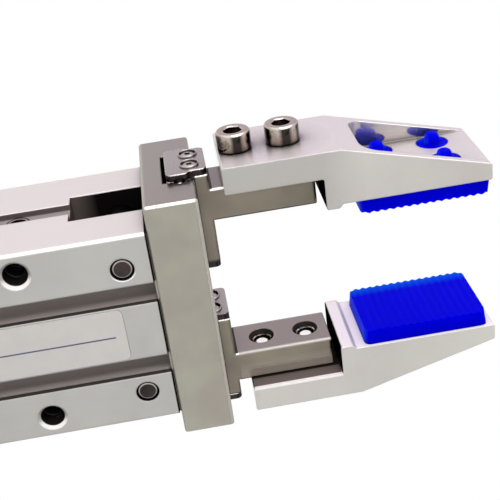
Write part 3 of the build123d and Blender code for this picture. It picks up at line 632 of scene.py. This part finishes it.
finish_of_node = {
    "body": "anodised_body",
    "guide_head": "ground_steel",
    "head_screws": "black_screw_steel",
    "label": "label_film",
    "rod_cover": "cover_aluminium",
    "rear_cap": "cover_aluminium",
    "rod_seal": "black_rubber",
    "cover_ring": "black_rubber",
    "cap_ring": "black_rubber",
    "piston_seal": "black_rubber",
    "front_bumper": "bumper_rubber",
    "rear_bumper": "bumper_rubber",
    "retaining_ring": "spring_steel",
    "piston": "piston_aluminium",
    "piston_magnet": "magnet_compound",
    "piston_nut": "screw_steel",
    "piston_rod": "rod_chrome",
}
finish_on_each_side = {
    "lever_pin": "pin_steel",
    "lever": "black_steel",
    "finger": "finger_steel",
    "outer_plate": "end_plate_steel",
    "inner_plate": "end_plate_steel",
    "plate_screws": "plate_screw_steel",
    "balls": "ball_steel",
    "jaw": "anodised_jaw",
    "jaw_screws": "screw_steel",
    "pad": "blue_silicone",
}
for side in SIDES:
    for piece, finish in finish_on_each_side.items():
        finish_of_node[f"{piece}_{side}"] = finish
for name, node in nodes.items():
    finish = finishes[finish_of_node[name]]
    if not node.material_slots:
        node.data.materials.append(finish)
    for place in node.material_slots:
        place.material = finish


# Geometry trees
def geometry_tree(name, inputs):
    """A tree with named inputs. Gives the tree, its inputs and its last socket."""
    tree = bpy.data.node_groups.new(name, "GeometryNodeTree")
    shape = "NodeSocketGeometry"
    tree.interface.new_socket("Geometry", in_out="INPUT", socket_type=shape)
    tree.interface.new_socket("Geometry", in_out="OUTPUT", socket_type=shape)
    for label, (kind, value) in inputs.items():
        socket = tree.interface.new_socket(label, in_out="INPUT", socket_type=kind)
        if value is not None:
            socket.default_value = value
    start = tree.nodes.new("NodeGroupInput")
    end = tree.nodes.new("NodeGroupOutput")
    return tree, start.outputs, end.inputs[0]


def finish_tree(tree, shape, material, end):
    """The last two steps of every tree: real geometry, then its finish."""
    real = add(tree, "GeometryNodeRealizeInstances", {"Geometry": shape}).outputs[0]
    inputs = {"Geometry": real, "Material": material}
    tree.links.new(add(tree, "GeometryNodeSetMaterial", inputs).outputs[0], end)


def turned_to_face(tree):
    """A turn of Z to the way that a point of the host faces."""
    facing = {"data_type": "FLOAT_VECTOR"}
    way = add(tree, "GeometryNodeInputNamedAttribute", {"Name": "facing"}, **facing)
    inputs = {"Vector": way.outputs["Attribute"]}
    return add(tree, "FunctionNodeAlignRotationToVector", inputs, axis="Z").outputs["Rotation"]


def copies_on(tree, host, piece, turn):
    """Copies of a piece on the points of a mesh."""
    points = add(tree, "GeometryNodeMeshToPoints", {"Mesh": host}).outputs[0]
    inputs = {"Points": points, "Instance": piece, "Rotation": turn}
    return add(tree, "GeometryNodeInstanceOnPoints", inputs).outputs[0]


def join_shapes(tree, *shapes):
    """Several shapes of a tree as one."""
    joined = add(tree, "GeometryNodeJoinGeometry")
    for shape in shapes:
        tree.links.new(shape, joined.inputs[0])
    return joined.outputs[0]


def row_tree_made():
    """Copies of a turned piece on points, each facing its own way and spun by a seed."""
    inputs = {
        "Piece": ("NodeSocketObject", None),
        "Turn": ("NodeSocketFloat", 0.0),
        "Seed": ("NodeSocketInt", 1),
        "Finish": ("NodeSocketMaterial", None),
    }
    tree, given, end = geometry_tree("row_of_pieces", inputs)
    piece = add(tree, "GeometryNodeObjectInfo", {"Object": given["Piece"]}).outputs["Geometry"]
    least = calc(tree, "MULTIPLY", given["Turn"], -1.0)
    spin = {2: least, 3: given["Turn"], "Seed": given["Seed"]}
    spin = add(tree, "FunctionNodeRandomValue", spin, data_type="FLOAT").outputs[1]
    spin = add(tree, "FunctionNodeEulerToRotation", {"Euler": combine(tree, Z=spin)}).outputs[0]
    both = {"Rotation": turned_to_face(tree), "Rotate By": spin}
    turn = add(tree, "FunctionNodeRotateRotation", both, rotation_space="LOCAL").outputs[0]
    copies = copies_on(tree, given["Geometry"], piece, turn)
    finish_tree(tree, copies, given["Finish"], end)
    return tree


def thread_tree_made():
    """A screw thread as a raised spiral, from each point along the way that it faces."""
    inputs = {
        "Radius": ("NodeSocketFloat", 1.5 * MM),
        "Pitch": ("NodeSocketFloat", 0.5 * MM),
        "Length": ("NodeSocketFloat", 4 * MM),
        "Ridge": ("NodeSocketFloat", 0.25 * MM),
        "Finish": ("NodeSocketMaterial", None),
    }
    tree, given, end = geometry_tree("screw_thread", inputs)
    spiral = {
        "Resolution": 24,
        "Rotations": calc(tree, "DIVIDE", given["Length"], given["Pitch"]),
        "Start Radius": given["Radius"],
        "End Radius": given["Radius"],
        "Height": given["Length"],
    }
    spiral = add(tree, "GeometryNodeCurveSpiral", spiral).outputs[0]
    ridge = {"Resolution": 4, "Radius": given["Ridge"]}
    ridge = add(tree, "GeometryNodeCurvePrimitiveCircle", ridge).outputs[0]
    bead = {"Curve": spiral, "Profile Curve": ridge, "Fill Caps": True}
    bead = add(tree, "GeometryNodeCurveToMesh", bead).outputs[0]
    copies = copies_on(tree, given["Geometry"], bead, turned_to_face(tree))
    finish_tree(tree, copies, given["Finish"], end)
    return tree


def pad_tree_made():
    """A pad, as a rounded slab that rises in rings, with ribs across its face and studs under
    it. It is drawn flat, with its width along X, its length along Y and its face up."""
    columns, steps_in_a_rib = 13, 10
    inputs = {
        "Width": ("NodeSocketFloat", 13.2 * MM),
        "Length": ("NodeSocketFloat", 19.3 * MM),
        "Depth": ("NodeSocketFloat", 2.22 * MM),
        "Corner": ("NodeSocketFloat", 1.0 * MM),
        "Edge": ("NodeSocketFloat", 0.45 * MM),
        "Draft": ("NodeSocketFloat", 0.35 * MM),
        "Ribs": ("NodeSocketInt", 15),
        "Rib height": ("NodeSocketFloat", 0.22 * MM),
        "Stud": ("NodeSocketObject", None),
        "Stud spacing across": ("NodeSocketFloat", 6.6 * MM),
        "Stud spacing along": ("NodeSocketFloat", 8.5 * MM),
        "Stud shift": ("NodeSocketFloat", 0.45 * MM),
        "Finish": ("NodeSocketMaterial", None),
    }
    tree, given, end = geometry_tree("ribbed_pad", inputs)

    def grid(width, length, across, along):
        sizes = {"Size X": width, "Size Y": length, "Vertices X": across, "Vertices Y": along}
        return add(tree, "GeometryNodeMeshGrid", sizes).outputs["Mesh"]

    def moved(shape, **how):
        return add(tree, "GeometryNodeSetPosition", {"Geometry": shape, **how}).outputs[0]

    def spot():
        return split(tree, tree.nodes.new("GeometryNodeInputPosition").outputs[0])

    half_width = calc(tree, "MULTIPLY", given["Width"], 0.5)
    half_length = calc(tree, "MULTIPLY", given["Length"], 0.5)
    rows = calc(tree, "MULTIPLY_ADD", given["Ribs"], float(steps_in_a_rib), 1.0)
    plan = grid(given["Width"], given["Length"], columns, rows)

    # Round the plan's corners: each row is drawn in where the corner's arc is
    flat = spot()
    straight = calc(tree, "SUBTRACT", half_length, given["Corner"])
    past = calc(tree, "SUBTRACT", calc(tree, "ABSOLUTE", flat["Y"]), straight)
    past = calc(tree, "MAXIMUM", past, 0.0)
    radius_squared = calc(tree, "MULTIPLY", given["Corner"], given["Corner"])
    arc = calc(tree, "SUBTRACT", radius_squared, calc(tree, "MULTIPLY", past, past))
    arc = calc(tree, "SQRT", calc(tree, "MAXIMUM", arc, 0.0))
    drawn_in = calc(tree, "DIVIDE", calc(tree, "SUBTRACT", given["Corner"], arc), half_width)
    width_share = calc(tree, "SUBTRACT", 1.0, drawn_in)
    rounded = combine(tree, X=calc(tree, "MULTIPLY", flat["X"], width_share), Y=flat["Y"])
    plan = moved(plan, Position=rounded)

    # Raise the plan in rings, up the drafted wall and then round the edge. Each ring is the
    # degrees that the edge has turned and the share of the ribs' height there.
    slab = plan
    last_x, last_y, last_z = half_width, half_length, 0.0
    for turn, rib_share in ((0, 0.0), (30, 0.35), (60, 0.75), (90, 1.0)):
        angle = math.radians(turn)
        inset = calc(tree, "MULTIPLY", given["Edge"], 1 - math.cos(angle))
        ring_x = calc(tree, "SUBTRACT", half_width, inset)
        ring_y = calc(tree, "SUBTRACT", half_length, calc(tree, "ADD", inset, given["Draft"]))
        drop = calc(tree, "MULTIPLY", given["Edge"], 1 - math.sin(angle))
        ring_z = calc(tree, "SUBTRACT", given["Depth"], drop)
        rise = {
            "Mesh": slab,
            "Offset": combine(tree, Z=calc(tree, "SUBTRACT", ring_z, last_z)),
            "Offset Scale": 1.0,
            "Individual": False,
        }
        raised = add(tree, "GeometryNodeExtrudeMesh", rise, mode="FACES").outputs
        top = spot()
        new_x = calc(tree, "MULTIPLY", top["X"], calc(tree, "DIVIDE", ring_x, last_x))
        new_y = calc(tree, "MULTIPLY", top["Y"], calc(tree, "DIVIDE", ring_y, last_y))
        # The ribs are a soft wave along the face
        along = calc(tree, "DIVIDE", new_y, calc(tree, "MULTIPLY", ring_y, 2.0))
        along = calc(tree, "MULTIPLY", calc(tree, "ADD", along, 0.5), given["Ribs"])
        wave = calc(tree, "COSINE", calc(tree, "MULTIPLY", along, 2 * math.pi))
        half_rib = calc(tree, "MULTIPLY", given["Rib height"], 0.5)
        lift = calc(tree, "MULTIPLY", calc(tree, "SUBTRACT", 1.0, wave), half_rib)
        new_z = calc(tree, "MULTIPLY_ADD", lift, rib_share, ring_z)
        place = combine(tree, X=new_x, Y=new_y, Z=new_z)
        slab = moved(raised["Mesh"], Selection=raised["Top"], Position=place)
        last_x, last_y, last_z = ring_x, ring_y, ring_z
    under = add(tree, "GeometryNodeFlipFaces", {"Mesh": plan}).outputs[0]
    closed = {"Geometry": join_shapes(tree, under, slab), "Distance": 0.002 * MM}
    slab = add(tree, "GeometryNodeMergeByDistance", closed).outputs[0]

    # The four studs hang under the slab
    corners = grid(given["Stud spacing across"], given["Stud spacing along"], 2, 2)
    corners = moved(corners, Offset=combine(tree, Y=given["Stud shift"]))
    stud = add(tree, "GeometryNodeObjectInfo", {"Object": given["Stud"]}).outputs["Geometry"]
    hanging = copies_on(tree, corners, stud, (math.pi, 0.0, 0.0))
    finish_tree(tree, join_shapes(tree, hanging, slab), given["Finish"], end)
    return tree


row_tree = row_tree_made()
thread_tree = thread_tree_made()
pad_tree = pad_tree_made()


# Meshes
def smooth_by_angle(mesh, degrees=32):
    """Smooth shading, with the sharp edges kept."""
    mesh.polygons.foreach_set("use_smooth", [True] * len(mesh.polygons))
    mesh.set_sharp_from_angle(angle=math.radians(degrees))
    mesh.update()


def in_scene(name, mesh):
    """An object for a mesh."""
    piece = bpy.data.objects.new(name, mesh)
    scene.collection.objects.link(piece)
    return piece


def grow(name, tree, host_mesh, values, place=None):
    """Runs a tree on a host mesh and gives the result as a plain mesh object."""
    piece = in_scene(name, host_mesh)
    modifier = piece.modifiers.new(tree.name, "NODES")
    modifier.node_group = tree
    for item in tree.interface.items_tree:
        if item.item_type == "SOCKET" and item.in_out == "INPUT" and item.name in values:
            modifier[item.identifier] = values[item.name]
    graph = bpy.context.evaluated_depsgraph_get()
    graph.update()
    mesh = bpy.data.meshes.new_from_object(piece.evaluated_get(graph))
    piece.modifiers.remove(modifier)
    piece.data = mesh
    if place is not None:
        mesh.transform(place)
    smooth_by_angle(mesh)
    return piece


def point_mesh(name, places, facing):
    """Bare points, each with the way it faces."""
    mesh = bpy.data.meshes.new(name)
    mesh.from_pydata([tuple(p) for p in places], [], [])
    ways = mesh.attributes.new("facing", "FLOAT_VECTOR", "POINT")
    for value, way in zip(ways.data, facing):
        value.vector = way
    return mesh


def turned(name, rings, count=36):
    """A closed turned piece. Each ring is (shape, radius, height) from its foot to its top.
    The shape is round or hex, and a hex ring's radius is half the width across its flats."""
    mesh = bpy.data.meshes.new(name)
    work = bmesh.new()
    loops = []
    for shape, radius, height in rings:
        loop = []
        for step in range(count):
            angle = 2 * math.pi * step / count
            reach = radius
            if shape == "hex":
                reach = radius / math.cos((angle % (math.pi / 3)) - math.pi / 6)
            place = (reach * math.cos(angle) * MM, reach * math.sin(angle) * MM, height * MM)
            loop.append(work.verts.new(place))
        loops.append(loop)
    for lower, upper in zip(loops, loops[1:]):
        for step in range(count):
            after = (step + 1) % count
            work.faces.new((lower[step], lower[after], upper[after], upper[step]))
    for loop, height in ((loops[0], rings[0][2]), (loops[-1], rings[-1][2])):
        middle = work.verts.new((0, 0, height * MM))
        for step in range(count):
            work.faces.new((loop[step], loop[(step + 1) % count], middle))
    bmesh.ops.recalc_face_normals(work, faces=work.faces)
    work.to_mesh(mesh)
    work.free()
    return in_scene(name, mesh)


def join(name, pieces):
    """Several meshes with one finish as one piece."""
    work = bmesh.new()
    for piece in pieces:
        work.from_mesh(piece.data)
    for face in work.faces:
        face.material_index = 0
    mesh = bpy.data.meshes.new(name)
    work.to_mesh(mesh)
    work.free()
    mesh.materials.append(pieces[0].data.materials[-1])
    for piece in pieces:
        bpy.data.objects.remove(piece)
    smooth_by_angle(mesh)
    return in_scene(name, mesh)


# Pads, stood up on the jaws' inner faces with their studs through the jaws
stud = turned(
    "stud_master",
    [
        ("round", 1.48, -0.3),
        ("round", 1.48, 1.9),
        ("round", 2.38, 1.9),
        ("round", 2.38, 2.56),
        ("round", 2.28, 2.68),
        ("round", 1.32, 2.7),
        ("round", 1.2, 2.84),
        ("round", 1.1, 3.6),
        ("round", 0.97, 3.98),
        ("round", 0.7, 4.2),
        ("round", 0.3, 4.3),
    ],
)
for side, way in SIDES.items():
    low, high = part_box(f"pad_{side}")
    middle = (low.z + high.z) / 2
    place = Matrix(
        ((0, 0, -way, way * PAD_BASE), (-way, 0, 0, 0), (0, 1, 0, middle), (0, 0, 0, 1))
    )
    values = {
        "Length": high.z - low.z,
        "Stud": stud,
        "Stud shift": way * 0.45 * MM,
        "Finish": finishes["blue_silicone"],
    }
    pad = grow(f"grip_pad_{side}", pad_tree, point_mesh("pad_start", [], []), values, place)
    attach(pad, f"finger_{side}")
    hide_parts(f"pad_{side}")

# Socket head cap screws through the jaws, with the thread that shows in the finger's holes
cap_screw = turned(
    "cap_screw_master",
    [
        ("round", 0.85, -8.0),
        ("round", 1.25, -7.75),
        ("round", 1.25, -4.0),
        ("round", 1.48, -3.8),
        ("round", 1.48, 0.0),
        ("round", 2.32, 0.0),
        ("round", 2.48, 0.15),
        ("round", 2.5, 0.3),
        ("round", 2.5, 2.4),
        ("round", 2.46, 2.62),
        ("round", 2.32, 2.79),
        ("round", 2.15, 2.85),
        ("round", 1.58, 2.85),
        ("round", 1.46, 2.82),
        ("hex", 1.25, 2.7),
        ("hex", 1.25, 1.42),
        ("round", 0.3, 1.15),
    ],
)
thread_depth = 7.7 * MM
for side, way in SIDES.items():
    facing = [(way, 0, 0)] * 2
    spots = [(way * JAW_OUTER, 0, height) for height in JAW_SCREWS]
    values = {"Piece": cap_screw, "Turn": 0.5, "Seed": 3 + way, "Finish": finishes["screw_steel"]}
    screws = grow(f"cap_screws_{side}", row_tree, point_mesh("spots", spots, facing), values)
    tips = [(way * (JAW_OUTER - thread_depth), 0, height) for height in JAW_SCREWS]
    values = {
        "Radius": 1.25 * MM,
        "Pitch": 0.5 * MM,
        "Length": 3.6 * MM,
        "Ridge": 0.22 * MM,
        "Finish": finishes["screw_steel"],
    }
    cut = grow(f"cap_screw_cut_{side}", thread_tree, point_mesh("tips", tips, facing), values)
    screws = join(f"cap_screws_{side}", [screws, cut])
    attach(screws, f"finger_{side}")
    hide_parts(f"jaw_screws_{side}")

# Low head screws in both ends of each slider
plate_screw = turned(
    "plate_screw_master",
    [
        ("round", 0.78, -2.9),
        ("round", 0.78, 0.0),
        ("round", 1.4, 0.0),
        ("round", 1.4, 0.15),
        ("round", 1.33, 0.32),
        ("round", 1.26, 0.34),
        ("round", 1.22, 0.3),
        ("round", 1.2, 0.03),
        ("round", 1.05, 0.04),
        ("round", 0.8, 0.14),
        ("round", 0.55, 0.2),
        ("hex", 0.42, 0.19),
        ("hex", 0.4, -0.3),
        ("round", 0.1, -0.35),
    ],
    count=30,
)
plate_screw_head = 0.35 * MM
for side, way in SIDES.items():
    low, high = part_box(f"plate_screws_{side}")
    ends = ((high.x - plate_screw_head, 1), (low.x + plate_screw_head, -1))
    spots = [(x, y * PLATE_SCREW_Y, PLATE_SCREW_Z) for x, _ in ends for y in PAIR]
    facing = [(out, 0, 0) for _, out in ends for _ in PAIR]
    values = {
        "Piece": plate_screw,
        "Turn": 3.0,
        "Seed": 11 + way,
        "Finish": finishes["plate_screw_steel"],
    }
    screws = grow(f"end_screws_{side}", row_tree, point_mesh("spots", spots, facing), values)
    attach(screws, f"finger_{side}")
    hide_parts(f"plate_screws_{side}")

# Socket head cap screws that hold the guide head
head_height, head_radius = 2.4 * MM, 2.2 * MM
low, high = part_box("head_screws")
seat = high.z - head_height
shank = (low.z - seat) / MM
head_screw = turned(
    "head_screw_master",
    [
        ("round", 0.9, shank),
        ("round", 1.24, shank + 0.35),
        ("round", 1.24, 0.0),
        ("round", 2.08, 0.0),
        ("round", 2.2, 0.12),
        ("round", 2.2, 2.1),
        ("round", 2.12, 2.3),
        ("round", 1.95, 2.4),
        ("round", 1.32, 2.4),
        ("round", 1.2, 2.37),
        ("hex", 1.0, 2.27),
        ("hex", 1.0, 1.2),
        ("round", 0.25, 0.95),
    ],
)
head_x, head_y = high.x - head_radius, high.y - head_radius
spots = [(x * head_x, y * head_y, seat) for x in PAIR for y in PAIR]
values = {
    "Piece": head_screw,
    "Turn": 3.0,
    "Seed": 21,
    "Finish": finishes["black_screw_steel"],
}
screws = grow("guide_screws", row_tree, point_mesh("spots", spots, [(0, 0, 1)] * 4), values)
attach(screws, "frame")
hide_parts("head_screws")


# Threads in the tapped holes
def tap(name, body, slot, starts, way, radius, pitch, length, ridge, finish=None):
    """Threads in the walls of holes that are alike and face one way."""
    values = {
        "Radius": radius * MM,
        "Pitch": pitch * MM,
        "Length": length * MM,
        "Ridge": ridge * MM,
        "Finish": finishes[finish or slot],
    }
    thread = grow(name, thread_tree, point_mesh(name, starts, [way] * len(starts)), values)
    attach(thread, body)


side_start, rear_start = -9.4 * MM, 0.6 * MM
tap(
    "side_bolt_threads", "frame", "anodised_body",
    [(x * SIDE_BOLT_X, side_start, SIDE_BOLT_Z) for x in PAIR], (0, 1, 0),
    radius=1.7, pitch=0.7, length=18.8, ridge=0.2, finish="black_steel",
)
tap(
    "rear_bolt_threads", "frame", "anodised_body",
    [(x * SIDE_BOLT_X, y * REAR_BOLT_Y, rear_start) for x in PAIR for y in PAIR], (0, 0, 1),
    radius=1.65, pitch=0.7, length=7.0, ridge=0.2,
)
port_seat = NARROW_FACE - 0.9 * MM
port_start = port_seat - 3.0 * MM
tap(
    "port_threads", "frame", "anodised_body",
    [(port_start, 0, height) for height in PORT_HEIGHTS], (1, 0, 0),
    radius=2.1, pitch=0.8, length=2.4, ridge=0.22,
)
finger_start = FINGER_INNER + 0.45 * MM
for side, way in SIDES.items():
    tap(
        f"finger_threads_{side}", f"finger_{side}", "ground_steel",
        [(way * finger_start, 0, height) for height in JAW_SCREWS], (way, 0, 0),
        radius=1.52, pitch=0.5, length=1.0, ridge=0.17, finish="screw_steel",
    )

for master in (stud, cap_screw, plate_screw, head_screw):
    bpy.data.objects.remove(master)


# Floor and world, both white to the eye and in reflections, and softer as light
def seen_rays(tree):
    """1 for rays from the camera, in reflections and through glass, and 0 for light."""
    path = tree.nodes.new("ShaderNodeLightPath").outputs
    seen = calc(tree, "MAXIMUM", path["Is Camera Ray"], path["Is Glossy Ray"])
    return calc(tree, "MAXIMUM", seen, path["Is Transmission Ray"])


white = (1, 1, 1, 1)
floor_reach = 3.0
floor_mesh = bpy.data.meshes.new("floor")
corners = [(x * floor_reach, y * floor_reach, 0) for x, y in ((-1, -1), (1, -1), (1, 1), (-1, 1))]
floor_mesh.from_pydata(corners, [], [(0, 1, 2, 3)])
floor_mesh.transform(Matrix.Translation((0, 0, cad_box[0].z - 0.05 * MM)))
floor = in_scene("floor", floor_mesh)
floor_paint = bpy.data.materials.new("floor_paint")
floor_paint.use_nodes = True
paint = floor_paint.node_tree
paint.nodes.clear()
glow = add(paint, "ShaderNodeEmission", {"Color": white, "Strength": 1.0}).outputs[0]
matt = add(paint, "ShaderNodeBsdfDiffuse", {"Color": (0.85, 0.85, 0.85, 1)}).outputs[0]
# The object's shadow shows near it, where the floor is partly matt
away = length_of(paint, paint.nodes.new("ShaderNodeTexCoord").outputs["Object"])
glowing = spread(paint, away, 0.015, 0.06, 0.8, 1.0, smooth=True)
share = calc(paint, "MULTIPLY", seen_rays(paint), glowing)
mixed = add(paint, "ShaderNodeMixShader", {0: share, 1: matt, 2: glow}).outputs[0]
add(paint, "ShaderNodeOutputMaterial", {"Surface": mixed})
floor_mesh.materials.append(floor_paint)

world = bpy.data.worlds.new("studio")
scene.world = world
world.use_nodes = True
sky = world.node_tree
sky.nodes.clear()
bright = add(sky, "ShaderNodeBackground", {"Color": white, "Strength": 1.0}).outputs[0]
soft = add(sky, "ShaderNodeBackground", {"Color": white, "Strength": 0.55}).outputs[0]
mixed = add(sky, "ShaderNodeMixShader", {0: seen_rays(sky), 1: soft, 2: bright}).outputs[0]
add(sky, "ShaderNodeOutputWorld", {"Surface": mixed})

scene.view_settings.view_transform = "Standard"

# Lamps and cards, all turned to the middle of what the photograph shows
looked_at = Vector((0, 0, 50 * MM))


def lamp(name, place, size, power, colour=(1, 1, 1)):
    """A soft square lamp that doesn't show in reflections. Its colour is a linear one."""
    light = bpy.data.lights.new(name, "AREA")
    light.size = size
    light.energy = power
    light.color = colour
    holder = in_scene(name, light)
    holder.visible_glossy = False
    holder.location = place
    way = looked_at - Vector(place)
    holder.rotation_euler = way.to_track_quat("-Z", "Y").to_euler()


def card(name, way, size, colour, strength=1.0):
    """A tinted studio card that only reflections show, half a metre off along its way. Its
    colour is a linear one."""
    half = size / 2
    corners = [(-half, -half, 0), (half, -half, 0), (half, half, 0), (-half, half, 0)]
    mesh = bpy.data.meshes.new(name)
    mesh.from_pydata(corners, [], [(0, 1, 2, 3)])
    card_paint = bpy.data.materials.new(name)
    card_paint.use_nodes = True
    tree = card_paint.node_tree
    tree.nodes.clear()
    glow = add(tree, "ShaderNodeEmission", {"Color": colour, "Strength": strength}).outputs[0]
    add(tree, "ShaderNodeOutputMaterial", {"Surface": glow})
    mesh.materials.append(card_paint)
    holder = in_scene(name, mesh)
    way = Vector(way).normalized()
    mesh.transform(way.to_track_quat("Z", "Y").to_matrix().to_4x4())
    mesh.transform(Matrix.Translation(looked_at + way * 0.5))
    for ray in ("camera", "diffuse", "transmission", "volume_scatter", "shadow"):
        setattr(holder, f"visible_{ray}", False)


dark = (0.05, 0.035, 0.03, 1)
lamp("key_light", (-0.48, -0.34, 0.1), 0.16, 2.2)
lamp("top_light", (-0.55, 0.1, 0.05), 0.85, 2.0, (1.0, 0.95, 0.97))
lamp("front_fill", (0.0, -0.6, 0.1), 0.5, 0.15)
card("key_card", (-0.88, -0.47, 0.05), 0.95, white, 2.6)
card("back_card", (-0.47, 0.88, 0.05), 0.9, (0.8, 0.74, 0.82, 1))
card("front_card", (0.47, -0.78, 0.42), 0.26, dark)
card("right_card", (0.47, 0.2, 0.86), 0.28, dark)
card("left_card", (0.47, 0.45, -0.76), 0.25, dark)
card("low_card", (0.88, 0.47, 0.05), 0.3, dark)

# Camera: from the left of the wide face, a little above it, with the fingertips to the right
camera_place = Vector((-76.3, -136.2, 49.7)) * MM
camera_way = Vector((0.4693, 0.8818, 0.0465)).normalized()
camera_up = Vector((-0.8743, 0.4566, 0.1648))
camera_right = camera_way.cross(camera_up).normalized()
camera_up = camera_right.cross(camera_way)
camera_data = bpy.data.cameras.new("camera")
camera_data.lens = 73.58
camera_data.sensor_width = 36
camera_data.clip_start = 0.005
camera_data.clip_end = 20
camera = in_scene("camera", camera_data)
axes = Matrix((camera_right, camera_up, -camera_way)).transposed().to_4x4()
camera.matrix_world = Matrix.Translation(camera_place) @ axes
scene.camera = camera

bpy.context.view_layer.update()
